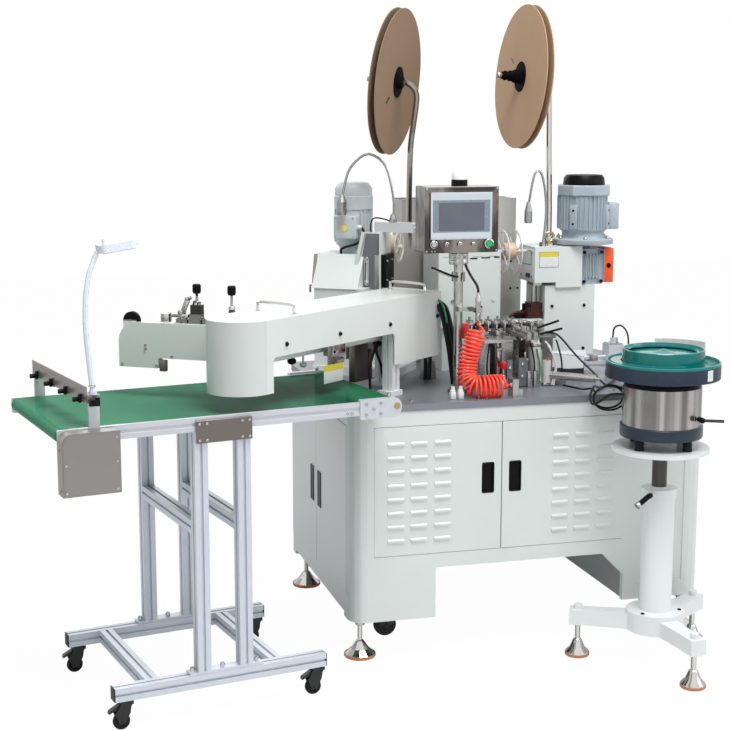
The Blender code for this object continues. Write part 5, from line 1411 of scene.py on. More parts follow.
def build_reel(settings, node, centre, lean, axes, phase, slot_turn):
    """Two warped discs on a core, with the hub, the slots and the stand's rounded tip."""
    half = settings.gap / 2
    radius = settings.radius
    thick = 0.003
    place = Matrix.Translation(centre) @ Matrix.Rotation(math.radians(lean), 4, "Y") @ AXIS_TURNS["X"]
    discs = []
    for side in (-1, 1):
        low, high = sorted((side * half, side * (half + thick)))
        rings = (0.021, 0.06, 0.11, 0.16, 0.205, radius - 0.0008)
        outline = [(r, low) for r in rings] + [(radius, low + 0.0007), (radius, high - 0.0007)]
        outline += [(r, high) for r in reversed(rings)] + [(0.021, low)]
        disc = turned(outline, steps=settings.facets)
        for vert in disc.verts:
            reach = math.hypot(vert.co.x, vert.co.y)
            angle = math.atan2(vert.co.y, vert.co.x)
            bend = math.sin(2 * angle + phase + side) * 0.6 + math.sin(3 * angle - phase) * 0.4
            vert.co.z += side * settings.warp * (reach / radius) ** 2 * (0.5 + 0.5 * bend)
        discs.append(moved(disc, place))
    # the boards' finish carries painted shade on the left reel and painted light on the right one
    piece(f"{node}_boards", discs, f"{node}_board", node, axes, (node,))
    core = sleeve(0.05, 0.056, -half + 0.0001, half - 0.0001, 64)
    piece(f"{node}_core", [moved(core, place)], "board_edge", node, axes)

    face = half + thick
    hub = turned(
        ((0.0104, -0.083), (0.0125, -0.083), (0.0135, -0.081), (0.0135, -0.075), (0.0165, -0.074),
         (0.0165, -0.066), (0.0145, -0.065), (0.0145, -0.058), (0.018, -0.056), (0.019, -0.04),
         (0.0225, -0.038), (0.024, -0.024), (0.026, -face - 0.004), (0.051, -face - 0.0032),
         (0.0525, -face - 0.0018), (0.0525, -face - 0.0002), (0.0205, -face - 0.0002),
         (0.0205, face + 0.0002), (0.0525, face + 0.0002), (0.0525, face + 0.0018), (0.051, face + 0.0032),
         (0.025, face + 0.004), (0.0215, 0.026), (0.018, 0.03), (0.0104, 0.03), (0.0104, -0.083)), steps=48
    )
    piece(f"{node}_hub", [moved(hub, place)], "hub_black", node, axes)
    slot = block((-0.0022, 0.088, -face - 0.0006), (0.0022, 0.12, -face + 0.0004))
    other = block((-0.0022, 0.098, face - 0.0004), (0.0022, 0.134, face + 0.003))
    turn = Matrix.Rotation(slot_turn, 4, "Z")
    piece(f"{node}_slots", [moved(slot, place @ turn), moved(other, place @ turn)], "dark_sheet", node, axes)
    tip = turned(
        ((0, 0.0992), (0.005, 0.0985), (0.0092, 0.0965), (0.0106, 0.093), (0.0102, 0.0895),
         (0.0102, 0.0835)), steps=24
    )
    stand = "left_reel_stand" if node == "left_reel" else "right_reel_pole"
    piece(f"{stand}_tip", [moved(tip, place @ Matrix.Rotation(math.pi, 4, "X"))], "chrome", axes=axes)


def build_spool(node, centre, radius, core, half, spokes, axes):
    """Two spoked flanges on a wound core."""
    place = seat(centre, "X")
    flanges = []
    for side in (-1, 1):
        middle = side * (half - 0.0022)
        flanges.append(sleeve(radius - 0.009, radius, middle - 0.002, middle + 0.002, 56, 0.0006))
        flanges.append(sleeve(0.0062, 0.017, middle - 0.002, middle + 0.002, 32))
        for i in range(spokes):
            spoke = block(
                (0.015, -0.0034, middle - 0.0014), (radius - 0.005, 0.0034, middle + 0.0014), 0.0006, 1
            )
            flanges.append(moved(spoke, Matrix.Rotation(2 * math.pi * i / spokes + 0.2, 4, "Z")))
    flanges = [moved(shape, place) for shape in flanges]
    piece(f"{node}_flanges", flanges, "clear", node, axes, (node,))
    inside = half - 0.0048
    winding = sleeve(0.0105, core, -inside, inside, 48)
    bush = sleeve(0.006, 0.01, -half, half, 24)
    piece(f"{node}_winding", [moved(winding, place)], "wound_strip", node, axes)
    piece(f"{node}_bush", [moved(bush, place)], "white_plastic", node, axes)


class MACHINE_OT_reels(bpy.types.Operator):
    """Build the board reels with their hubs and the two clear spools"""

    bl_idname = "machine.reels"
    bl_label = "Reels and spools"

    def execute(self, context):
        settings = context.scene.machine_reels
        build_reel(settings, "right_reel", RIGHT_REEL, RIGHT_LEAN, CABINET_AXES, 0.7, 0.58)
        build_reel(settings, "left_reel", LEFT_REEL, LEFT_LEAN, LEFT_PRESS_AXES, 2.6, 3.7)
        build_spool("left_spool", (0.022, 0.098, 1.271), 0.057, 0.04, 0.034, 5, LEFT_PRESS_AXES)
        build_spool("clear_spool", (0.119, 0.125, 1.253), 0.078, 0.03, 0.026, 6, CABINET_AXES)
        return {"FINISHED"}


def dress_right_motor():
    """Casting, fins, foot, fan cover, box and bolts of the right motor."""
    x, y, base = RIGHT_MOTOR
    body = [turned(
        ((0, 0.0002), (0.027, 0.0002), (0.0275, 0.015), (0.107, 0.0165), (0.108, 0.018), (0.108, 0.033),
         (0.106, 0.035), (0.079, 0.038), (0.0755, 0.046), (0.0755, 0.06), (0.085, 0.067), (0.086, 0.07),
         (0.086, 0.186), (0.086, 0.224), (0, 0.224)), (x, y, base), "Z", 72
    )]
    ring = turned(
        ((0, 0.188), (0.0965, 0.188), (0.099, 0.191), (0.099, 0.222), (0.0965, 0.225), (0, 0.225)), steps=8
    )
    body.append(moved(ring, about(RIGHT_MOTOR, math.radians(-113.6 + 22.5))))
    for i in range(36):
        angle = 2 * math.pi * i / 36
        if abs(math.sin(angle / 2)) < 0.36:
            continue
        fin = block((0.084, -0.0013, 0.07), (0.0935, 0.0013, 0.186), 0.0006, 1)
        body.append(moved(fin, about(RIGHT_MOTOR, angle)))
    box = block((x + 0.078, y - 0.045, 1.328), (x + 0.1195, y + 0.045, 1.422), 0.006, 3)
    body.append(pushed_in(box, (1, 0, 0), 0.006, -0.0015))
    holes = []
    for i in range(4):
        angle = math.radians(45 + 90 * i)
        spun = about(RIGHT_MOTOR, angle)
        body.append(moved(block((0.08, -0.0135, 0.072), (0.0965, 0.0135, 0.156), 0.003), spun))
        for up in (0.09, 0.137):
            holes.append(moved(rod(0.0042, 0.0964, 0.0975, (0, 0, up), "X", 16), spun))
    piece("right_motor_body", body, "motor", replaces=("right_motor",))
    piece("right_motor_foot_holes", holes, "dark_screw")
    cover = turned(
        ((0.0745, 0.2252), (0.074, 0.23), (0.0715, 0.25), (0.064, 0.26), (0.056, 0.2608), (0, 0.2608)),
        (x, y, base), "Z", 64
    )
    piece("right_motor_fan_cover", [cover], "black_plastic")
    bolts = []
    for i in range(6):
        angle = math.radians(60 * i + 12)
        place = Vector((x + 0.096 * math.cos(angle), y + 0.096 * math.sin(angle), 0))
        bolts.append(hex_nut((place.x, place.y, base + 0.0385), radius=0.0075, height=0.007))
        bolts.append(rod(0.0035, base + 0.04, base + 0.047, (place.x, place.y, 0), "Z", 12, 0.0006))
    piece("right_motor_bolts", bolts, "screw")
    screws = [
        cap_screw((x + 0.1192, y + dy, z), "X", 0.004, 0.0016) for dy in (-0.038, 0.038)
        for z in (1.335, 1.415)
    ]
    piece("right_motor_box_screws", screws, "screw")


def dress_left_motor():
    """Casting, fins, box, gland, lead and sticker of the left motor."""
    u, v, low = LEFT_MOTOR
    body = [turned(
        ((0, 0.0002), (0.05, 0.0002), (0.0505, 0.02), (0.062, 0.028), (0.0625, 0.15), (0.068, 0.153),
         (0.0685, 0.196), (0.066, 0.199), (0.0662, 0.223), (0.06, 0.233), (0.05, 0.244), (0.044, 0.245),
         (0, 0.245)), (u, v, low), "Z", 64
    )]
    for i in range(30):
        angle = 2 * math.pi * i / 30
        if abs(math.sin((angle + math.pi / 2 + 0.25) / 2)) < 0.4:
            continue
        fin = block((0.061, -0.0011, 0.036), (0.068, 0.0011, 0.151), 0.0005, 1)
        body.append(moved(fin, about(LEFT_MOTOR, angle)))
    body.append(block((-0.142, -0.045, 1.303), (-0.059, 0.01, 1.386), 0.006, 3))
    lid = block((-0.138, -0.0486, 1.307), (-0.063, -0.0452, 1.382), 0.003, 2)
    body.append(pushed_in(lid, (0, -1, 0), 0.01, -0.0008))
    body.append(rod(0.01, -0.06, -0.056, (0, -0.023, 1.344), "X", 24))
    piece(
        "left_motor_body", body, "left_motor_cast", axes=LEFT_PRESS_AXES, replaces=("left_motor",),
    )
    gland = [
        hex_nut((-0.052, -0.023, 1.344), "X", 0.011, 0.007),
        rod(0.0078, -0.05, -0.044, (0, -0.023, 1.344), "X", 20, 0.0015)
    ]
    piece("left_motor_gland", gland, "white_plastic", axes=LEFT_PRESS_AXES)
    lead = smooth_path(
        ((-0.045, -0.023, 1.344), (-0.036, -0.025, 1.325), (-0.054, -0.036, 1.292), (-0.1, -0.036, 1.276),
         (-0.116, -0.034, 1.268), (-0.118, -0.032, 1.253)), 8
    )
    leads("left_motor_lead", [lead], 0.0045, "black_cable", axes=LEFT_PRESS_AXES)
    screws = [
        cap_screw((place, -0.0484, z), "Y", 0.0034, 0.002, -1) for place in (-0.133, -0.068)
        for z in (1.312, 1.377)
    ]
    piece("left_motor_box_screws", screws, "screw", axes=LEFT_PRESS_AXES)
    disc = plug(0.015, -0.0502, -0.0496, (-0.1005, 0, 1.3445), "Y", 36)
    piece("left_motor_sticker", [disc], "sticker", axes=LEFT_PRESS_AXES)
    spot = plug(0.0085, -0.0505, -0.0501, (-0.1005, 0, 1.3445), "Y", 28)
    piece("left_motor_sticker_middle", [spot], "white_plastic", axes=LEFT_PRESS_AXES)


def dress_gearbox():
    """Orange end plate with its bolt hole, and the cooling ribs and bolts of the gear housing."""
    plate = [block((0.4585, 0.0575, 1.1395), (0.4945, 0.1965, 1.2625), 0.002)]
    piece("gearbox_end_plate", plate, "orange")
    hole = turned(((0, 0.0566), (0.008, 0.0566), (0.0092, 0.0574), (0, 0.0574)), (0.476, 0, 1.2), "Y", 24)
    piece("gearbox_plate_hole", [hole], "black_plastic")
    bolts = [
        cap_screw((x, 0.0558, z), "Y", 0.0066, 0.004, -1) for x in (0.38, 0.446) for z in (1.145, 1.249)
    ]
    piece("gearbox_bolts", bolts, "dark_screw")
    places = (0.386, 0.399, 0.412, 0.425, 0.438)
    ribs = [block((x - 0.0022, 0.0592, 1.158), (x + 0.0022, 0.067, 1.238), 0.001, 1) for x in places]
    piece("gearbox_ribs", ribs, "motor")


class MACHINE_OT_motors(bpy.types.Operator):
    """Fit the motors' fan covers, fins, boxes, bolts and glands"""

    bl_idname = "machine.motors"
    bl_label = "Motor fittings"

    def execute(self, context):
        dress_right_motor()
        dress_left_motor()
        dress_gearbox()
        return {"FINISHED"}


def dress_left_press():
    """Side skin, guard, gauge, screws and die block of the left press."""
    side = block((0.0376, -0.06, 1.141), (0.0392, 0.048, 1.254), 0.0004, 1)
    piece("left_press_side_skin", [side], "dark_sheet", axes=LEFT_PRESS_AXES)
    screws = [cap_screw((0.0551, v, z), "X", 0.0048, 0.003) for v in (-0.042, 0.02) for z in (1.165, 1.232)]
    piece("left_ram_screws", screws, "screw", "left_ram", LEFT_PRESS_AXES)
    panel = block((-0.056, -0.0464, 1.134), (0.03, -0.0453, 1.326), 0.0004, 1)
    for vert in panel.verts:
        vert.co.x = max(vert.co.x, -0.064 + (vert.co.z - 1.134) * 0.225)
    piece("left_guard_panel", [panel], "smoked", axes=LEFT_PRESS_AXES)
    lower = block((0.011, -0.049, 1.134), (0.03, -0.0466, 1.252), 0.0008)
    piece("left_guard_steel", [lower], "sheet_steel", axes=LEFT_PRESS_AXES)
    gauge = [
        rod(0.0022, 1.15, 1.24, (-0.0245, -0.0545, 0), "Z", 12),
        rod(0.0022, 1.15, 1.24, (-0.0085, -0.0545, 0), "Z", 12),
        hex_nut((-0.0165, -0.0545, 1.152), "Y", 0.0075, 0.006),
        hex_nut((-0.0165, -0.0545, 1.238), "Y", 0.0075, 0.006)
    ]
    piece("left_gauge", gauge, "screw", axes=LEFT_PRESS_AXES)
    bolts = [hex_nut((0.156, -0.026, z), "X", 0.007, 0.005) for z in (1.3465, 1.359)]
    piece("left_bar_bolts", bolts, "screw", axes=LEFT_PRESS_AXES)
    lead = smooth_path(
        ((0.066, -0.03, 1.368), (0.04, -0.032, 1.376), (0.006, -0.03, 1.379), (-0.01, -0.026, 1.36),
         (-0.01, -0.02, 1.3), (-0.008, -0.01, 1.256)), 6
    )
    leads("left_lamp_lead", [lead], 0.0026, "black_cable", axes=LEFT_PRESS_AXES)
    tool = [
        block((0.03, -0.02, 1.0003), (0.075, 0.04, 1.018), 0.0015),
        block((0.044, -0.006, 1.018), (0.056, 0.018, 1.03), 0.001),
        rod(0.006, 1.018, 1.029, (0.068, 0.03, 0), "Z", 16, 0.0008)
    ]
    piece("left_die_block", tool, "machined", axes=LEFT_PRESS_AXES)


def dress_right_press():
    """Screws, plates, adjusters and the pole's flange of the right press."""
    places = ((0.262, 1.06), (0.385, 1.06), (0.262, 0.905), (0.33, 0.89), (0.385, 0.905))
    screws = [cap_screw((x, 0.0598, z), "Y", 0.0056, 0.0035, -1) for x, z in places]
    screws += [
        cap_screw((0.1898, y, z), "X", 0.0046, 0.003, -1) for y in (0.075, 0.175) for z in (1.165, 1.25)
    ]
    piece("right_press_screws", screws, "dark_screw")
    plate = block((0.2085, 0.0484, 1.201), (0.279, 0.0492, 1.253), 0.0003, 1)
    backing = block((0.2075, 0.049, 1.2), (0.28, 0.0498, 1.254), 0.0003, 1)
    piece("right_press_plate", [plate], "press_plate")
    piece("right_press_plate_edge", [backing], "dark_sheet")
    guard = block((0.1878, 0.062, 1.158), (0.1898, 0.19, 1.262), 0.0006, 1)
    piece("right_head_end", [guard], "white_enamel")
    bare = block((0.1866, 0.08, 1.208), (0.1872, 0.17, 1.254), 0.0002, 1)
    piece("right_end_plate", [bare], "white_plastic")
    edge = [
        block((0.187, 0.0775, 1.206), (0.1877, 0.1725, 1.256), 0.0002, 1),
        block((0.181, 0.088, 1.161), (0.1877, 0.116, 1.176), 0.001, 1)
    ]
    piece("right_end_plate_edge", edge, "dark_sheet")
    cap = [
        rod(0.0075, 1.056, 1.064, (0.182, 0.085, 0), "Z", 20, 0.001),
        rod(0.006, 1.04, 1.064, (0.182, 0.13, 0), "Z", 16, 0.001),
        block((0.14, 0.098, 1.015), (0.175, 0.122, 1.03), 0.002)
    ]
    piece("applicator_adjusters", cap, "dark_screw")
    ring = turned(
        ((0.015, 1.279), (0.0215, 1.279), (0.022, 1.28), (0.022, 1.285), (0.015, 1.287), (0.015, 1.279)),
        (0.269, 0.12, 0), "Z", 32
    )
    piece("pole_flange", [ring], "brass")
    angles = [math.radians(15 * i) for i in range(23)]
    loop = [(0.267 + 0.016 * math.cos(a), 0.1079, 1.303 + 0.016 * math.sin(a)) for a in angles]
    tubing("pole_ring", [loop], 0.0046, "brass")


class MACHINE_OT_presses(bpy.types.Operator):
    """Fit the presses' screws, plates, gauges and tools"""

    bl_idname = "machine.presses"
    bl_label = "Press fittings"

    def execute(self, context):
        dress_left_press()
        dress_right_press()
        return {"FINISHED"}


def dress_panel():
    """Bezel, display, buttons, vents and beacon of the control panel."""
    front = PANEL_FRONT
    bezel = block((-0.3225, front - 0.009, 1.3395), (-0.1175, front - 0.007, 1.4885), 0.0008)
    pushed_in(bezel, (0, -1, 0), 0.006, 0.0008)
    piece("panel_bezel", [bezel], "bezel", "hmi_enclosure")
    strip = block((-0.316, front - 0.0086, 1.362), (-0.124, front - 0.0076, 1.464), 0.0005, 1)
    piece("panel_strip", [strip], "bezel_strip", "hmi_enclosure")
    glass = block((-0.296, front - 0.0096, 1.368), (-0.144, front - 0.0084, 1.456), 0.0005, 1)
    piece("panel_screen", [glass], "screen", "hmi_enclosure")

    rings = []
    plungers = []
    for x, radius in (
        (-0.311, 0.0118), (-0.268, 0.0066), (-0.224, 0.0066), (-0.179, 0.0052), (-0.126, 0.015)
    ):
        inner = radius - 0.0028 if x < -0.13 else 0.0118
        rings.append(turned(
            ((inner, front - 0.0005), (inner, front - 0.0088), (inner + 0.0008, front - 0.01),
             (radius + 0.0006, front - 0.0085), (radius + 0.0018, front - 0.003),
             (radius + 0.0018, front - 0.0005), (inner, front - 0.0005)), (x, 0, 1.324), "Y", 32
        ))
        if x < -0.13:
            plungers.append(turned(
                ((0, front - 0.0108), (inner - 0.001, front - 0.0108), (inner - 0.0003, front - 0.0098),
                 (inner - 0.0003, front - 0.002), (0, front - 0.002)), (x, 0, 1.324), "Y", 24
            ))
    piece("panel_rings", rings, "chrome", "hmi_enclosure")
    piece("panel_plungers", plungers, "screw", "hmi_enclosure")
    screws = [
        cap_screw((x, front + 0.0002, z), "Y", 0.0032, 0.0024, -1) for x in (-0.334, -0.099)
        for z in (1.302, 1.5)
    ]
    screws += [cap_screw((x, front + 0.0002, 1.302), "Y", 0.0024, 0.002, -1) for x in (-0.316, -0.306)]
    piece("panel_screws", screws, "screw", "hmi_enclosure")
    holes = [
        rod(0.0016, front - 0.0008, front + 0.0002, (-0.316 + 0.0078 * i, 0, 1.4975), "Y", 8)
        for i in range(27)
    ]
    piece("panel_vents", holes, "dark_screw", "hmi_enclosure")
    lip = block((-0.3402, front - 0.0006, 1.5035), (-0.0928, front + 0.04, 1.5062), 0.0006, 1)
    piece("panel_top_lip", [lip], "chrome", "hmi_enclosure")

    x, y = PANEL_POST
    dome = turned(
        ((0, 1.5262), (0.025, 1.5262), (0.0252, 1.53), (0.0246, 1.539), (0.0215, 1.548), (0.015, 1.553),
         (0.0065, 1.5552), (0, 1.5555)), (x, y, 0), "Z", 40
    )
    piece("beacon_dome", [dome], "lamp_dome", "hmi_enclosure")
    base = turned(((0.0262, 1.5065), (0.0262, 1.523), (0.025, 1.5262), (0, 1.5262)), (x, y, 0), "Z", 40)
    piece("beacon_base", [base], "black_plastic", "hmi_enclosure")
    collar = turned(
        ((0.0306, 1.255), (0.0314, 1.2562), (0.0314, 1.268), (0.0306, 1.2692), (0.0306, 1.278),
         (0.0314, 1.2792), (0.0314, 1.292), (0.0306, 1.2932)), (x, y, 0), "Z", 40
    )
    piece("panel_collar", [collar], "machined", "hmi_enclosure")


def run_post_lines(x, y):
    """Clamp lever on the post, and the hose's swivel fitting with its supply."""
    lever = smooth_path(
        ((x - 0.01, y - 0.022, 1.216), (x - 0.04, y - 0.038, 1.224), (x - 0.104, y - 0.04, 1.25)), 6
    )
    tubing("post_lever", [lever], 0.0036, "black_plastic")
    fitting = [
        turned(
            ((0, 1.08), (0.007, 1.08), (0.0078, 1.082), (0.0078, 1.096), (0.0092, 1.098), (0.0092, 1.11),
             (0, 1.11)), (*HOSE_TOP, 0), "Z", 24
        ),
        turned(
            ((0, 1.139), (0.0092, 1.139), (0.0092, 1.15), (0.006, 1.156), (0.006, 1.17), (0, 1.17)),
            (*HOSE_TOP, 0), "Z", 24
        )
    ]
    piece("hose_fitting", fitting, "screw")
    rise = smooth_path(
        ((*HOSE_TOP, 1.168), (-0.168, -0.356, 1.19), (-0.184, -0.33, 1.226), (-0.196, -0.312, 1.262),
         (-0.2, -0.3, 1.296)), 6
    )
    leads("hose_supply", [rise], 0.0042, "black_cable")


class MACHINE_OT_panel(bpy.types.Operator):
    """Dress the control panel with its bezel, display, buttons and beacon"""

    bl_idname = "machine.panel"
    bl_label = "Control panel"

    def execute(self, context):
        dress_panel()
        run_post_lines(*PANEL_POST)
        return {"FINISHED"}


def fill_centre():
    """Slide blocks, pins, nuts and levers of the wire-end unit."""
    steel = []
    dark = []
    bright = []
    for i in range(7):
        x = -0.1 + 0.03 * i
        steel.append(block((x - 0.009, -0.118, 1.0165), (x + 0.009, -0.09, 1.038), 0.0015))
        dark.append(block((x - 0.006, -0.132, 1.017), (x + 0.006, -0.119, 1.03), 0.001))
        bright.append(cap_screw((x, -0.104, 1.038), "Z", 0.0044, 0.004))
        steel.append(block((x - 0.007, -0.088, 1), (x + 0.007, -0.086, 1.035), 0.001, 1))
        dark.append(cap_screw((x, -0.132, 1.0235), "Y", 0.003, 0.0024, -1))
    for i in range(4):
        x = -0.08 + 0.055 * i
        bright.append(rod(0.0042, -0.25, -0.17, (x, 0, 0.995), "Y", 16, 0.0006))
        dark.append(hex_nut((x, -0.216, 0.9945), "Y", 0.0072, 0.005))
    for x in (-0.08, -0.025):
        steel.append(block((x - 0.01, -0.18, 0.9965), (x + 0.01, -0.15, 1.014), 0.0012))
    steel.append(block((-0.122, -0.3, 0.993), (-0.02, -0.19, 0.999), 0.001))
    steel.append(block((-0.122, -0.232, 0.85), (-0.114, -0.192, 0.993), 0.001))
    steel.append(block((0.086, -0.15, 0.9965), (0.15, -0.1, 1.02), 0.0015))
    steel.append(block((0.094, -0.168, 1.01), (0.104, -0.09, 1.036), 0.001))
    steel.append(block((0.122, -0.16, 1.02), (0.132, -0.08, 1.032), 0.001))
    dark.append(tilted(
        block((0.102, -0.2, 1.03), (0.184, -0.192, 1.037), 0.002), -16, "Y", (0.144, -0.196, 1.034)
    ))
    dark.append(tilted(
        block((0.108, -0.216, 1.008), (0.19, -0.208, 1.015), 0.002), -12, "Y", (0.148, -0.212, 1.012)
    ))
    # The sixth place in this row stays free.
    for i in (0, 1, 2, 3, 4, 6, 7, 8):
        x = -0.108 + 0.03 * i
        bright.append(rod(0.0034, 1, 1.03 + 0.006 * (i % 3), (x, -0.136, 0), "Z", 12, 0.0006))
        dark.append(hex_nut((x, -0.136, 1.006), "Z", 0.0062, 0.0045))
        steel.append(block((x - 0.011, -0.15, 0.9968), (x - 0.002, -0.126, 1.008), 0.001, 1))
        bright.append(cap_screw((x + 0.006, -0.163, 0.9966), "Z", 0.0036, 0.0042))
        dark.append(rod(0.0048, -0.086, -0.07, (x, 0, 1.022 + 0.004 * (i % 2)), "Y", 14, 0.0008))
    piece("centre_blocks", steel, "machined")
    piece("centre_dark_parts", dark, "dark_screw")
    piece("centre_bright_parts", bright, "chrome")


def fit_cylinders():
    """Air cylinders with their end caps, clear barrels, valves, plates and solenoid blocks."""
    barrels = []
    caps = []
    for x, y, low, high, radius in (
        (0.085, -0.226, 0.838, 0.978, 0.02), (-0.045, -0.222, 0.856, 0.965, 0.014),
        (0.043, -0.246, 0.838, 0.93, 0.0115)
    ):
        barrels.append(rod(radius, low + 0.01, high - 0.01, (x, y, 0), "Z", 40))
        barrels.append(rod(0.0045, high, high + 0.02, (x, y, 0), "Z", 14, 0.0008))
        for z in (low, high - 0.011):
            caps.append(turned(
                ((0, 0), (radius + 0.001, 0), (radius + 0.0018, 0.0015), (radius + 0.0018, 0.0095),
                 (radius + 0.001, 0.011), (0, 0.011)), (x, y, z), "Z", 36
            ))
    piece("centre_dark_barrel", barrels[:1], "dark_screw")
    piece("centre_barrels", barrels[1:], "chrome")
    piece("centre_barrel_caps", caps, "machined")
    glass = [
        plug(0.0135, 0.845, 0.92, (0.119, -0.252, 0), "Z", 32),
        turned(
            ((0, 0.88), (0.0212, 0.88), (0.0212, 0.96), (0.015, 0.985), (0, 0.988)), (0.085, -0.2262, 0),
            "Z", 40
        )
    ]
    piece("centre_clear_barrels", glass, "clear")
    feet = [
        block((0.103, -0.266, 0.8377), (0.135, -0.238, 0.846), 0.0015),
        block((-0.056, -0.278, 0.8377), (-0.025, -0.249, 0.864), 0.002)
    ]
    for x, z in ((0.028, 0.8728), (0.028, 0.9134), (-0.017, 0.8619), (-0.017, 0.9024)):
        feet.append(rod(0.0062, -0.2695, -0.264, (x, 0, z), "Y", 24, 0.0018))
    piece("centre_feet", feet, "chrome")
    knob = [turned(
        ((0, 0.9), (0.01, 0.9), (0.0112, 0.902), (0.0112, 0.921), (0.0095, 0.924), (0, 0.924)), VALVE, "Z",
        24
    )]
    for i in range(12):
        rib = block((0.0106, -0.0009, 0.903), (0.012, 0.0009, 0.92), 0.0004, 1)
        knob.append(moved(rib, about(VALVE, 2 * math.pi * i / 12)))
    piece("centre_valve_knob", knob, "red_plastic")
    stem = [rod(0.006, 0.856, 0.9, VALVE, "Z", 20), rod(0.0095, 0.864, 0.88, VALVE, "Z", 20, 0.001)]
    piece("centre_valve_body", stem, "screw")
    plates = [
        block((0.014, -0.2655, 0.8378), (0.0434, -0.2625, 0.934), 0.0008),
        block((-0.027, -0.2655, 0.8378), (-0.008, -0.25, 0.926), 0.001)
    ]
    piece("centre_front_plates", plates, "smoked")
    solenoids = [
        block((x - 0.0085, -0.274, 0.8355), (x + 0.0085, -0.252, 0.89), 0.0015) for x in (0.0522, 0.074)
    ]
    piece("centre_solenoids", solenoids, "machined")
    valve = [block((-0.19, -0.264, 1.006), (-0.16, -0.236, 1.056), 0.003)]
    piece("centre_red_valve", valve, "red_plastic")


def drop(x, y, z, dx, dy):
    """A tube's way from a fitting down to the table, bowed by dx and dy."""
    return smooth_path(
        ((x, y, z), (x + dx * 0.3, y + dy * 0.3, z - 0.015), (x + dx, y + dy, (z + TABLE_TOP) / 2),
         (x + dx * 0.6, y + dy * 1.2, TABLE_TOP + 0.004)), 7
    )


def fit_tubes():
    """Clear, black and red air tubes between the cylinders and the table."""
    clear = [drop(0.112, -0.25, 0.985, 0.034, -0.014), drop(0.124, -0.246, 0.975, 0.022, -0.022)]
    leads("centre_clear_tube", clear, 0.0032, "clear")
    leads("centre_red_tube", [drop(0.121, -0.252, 0.93, 0.004, -0.004)], 0.0028, "red_plastic")
    leads("centre_green_tube", [drop(0.083, -0.25, 0.96, 0.01, -0.006)], 0.0028, "green_tube")
    black = [
        drop(-0.08, -0.24, 0.985, -0.016, -0.02), drop(-0.066, -0.244, 0.975, -0.006, -0.026),
        drop(0.06, -0.24, 0.99, 0.01, -0.024), drop(0.172, -0.2, 0.98, 0.01, -0.03)
    ]
    leads("centre_black_tube", black, 0.003, "black_cable")
    lead = smooth_path(
        ((0.16, -0.15, 1), (0.19, -0.18, 0.99), (0.23, -0.24, 0.93), (0.27, -0.29, 0.88),
         (0.3, -0.33, 0.842), (0.34, -0.37, 0.84)), 7
    )
    leads("centre_to_feeder_lead", [lead], 0.0034, "black_cable")


class MACHINE_OT_centre(bpy.types.Operator):
    """Fill the wire-end processing unit with its slides, valves, cylinders and tubes"""

    bl_idname = "machine.centre"
    bl_label = "Centre unit fittings"

    def execute(self, context):
        fill_centre()
        fit_cylinders()
        fit_tubes()
        return {"FINISHED"}


def build_bowl():
    """The bowl's pan with its spiral ledges, its wall and its clear guard."""
    x, y = BOWL.x, BOWL.y
    bowl = [
        turned(
            ((0, 1.004), (0.03, 1.0035), (0.07, 1.002), (0.098, 0.999), (0.1195, 1), (0.1215, 1.013),
             (0.1225, 1.0148), (0.1255, 1.0148), (0.1268, 1.013), (0.1275, 0.962), (0.13, 0.96),
             (0.167, 0.964), (0.17, 0.968), (0.1712, 0.9765), (0.1735, 0.9785), (0.1765, 0.9765),
             (0.1768, 0.97)), (x, y, 0), "Z", 96
        ),
        turned(
            ((0, 1.013), (0.006, 1.012), (0.014, 1.008), (0.034, 1.0042), (0.04, 1.003)), (x, y, 0), "Z", 40
        )
    ]
    bowl.append(spiral(0.112, 0.0095, 0.998, 0.008, 300, -150))
    bowl.append(spiral(0.147, 0.015, 0.966, 0.01, 260, 10))
    piece("bowl_pan", bowl, "bowl", "feeder_bowl", replaces=("feeder_bowl",))
    wall = turned(
        ((0.1768, 0.97), (0.177, 0.969), (0.177, 0.927), (0.1755, 0.9252), (0.13, 0.925), (0.112, 0.909),
         (0, 0.909)), (x, y, 0), "Z", 96
    )
    piece("bowl_wall", [wall], "bowl_rim", "feeder_bowl")
    guard = []
    for i in range(6):
        angle = math.radians(20 + 9.6 * i)
        leaf = block((0.17, -0.015, 0.976), (0.1735, 0.015, 1.0215), 0.0008, 1)
        guard.append(moved(leaf, about(BOWL, angle)))
    piece("bowl_guard", guard, "clear", "feeder_bowl")


def spiral(radius, half, low, rise, sweep, start):
    """A climbing ledge: a square section spun along a helix inside the bowl."""
    shape = bmesh.new()
    a = math.radians(start)
    ring = []
    for across, up in ((-half, 0), (half, 0), (half, 0.004), (-half, 0.004)):
        reach = radius + across
        ring.append(shape.verts.new((BOWL.x + reach * math.cos(a), BOWL.y + reach * math.sin(a), low + up)))
    face = shape.faces.new(ring)
    steps = 60
    bmesh.ops.spin(
        shape, geom=[face], cent=tuple(BOWL), axis=(0, 0, 1), dvec=(0, 0, rise / steps),
        angle=math.radians(sweep), steps=steps, use_merge=False, use_duplicate=False
    )
    bmesh.ops.recalc_face_normals(shape, faces=shape.faces)
    return shape


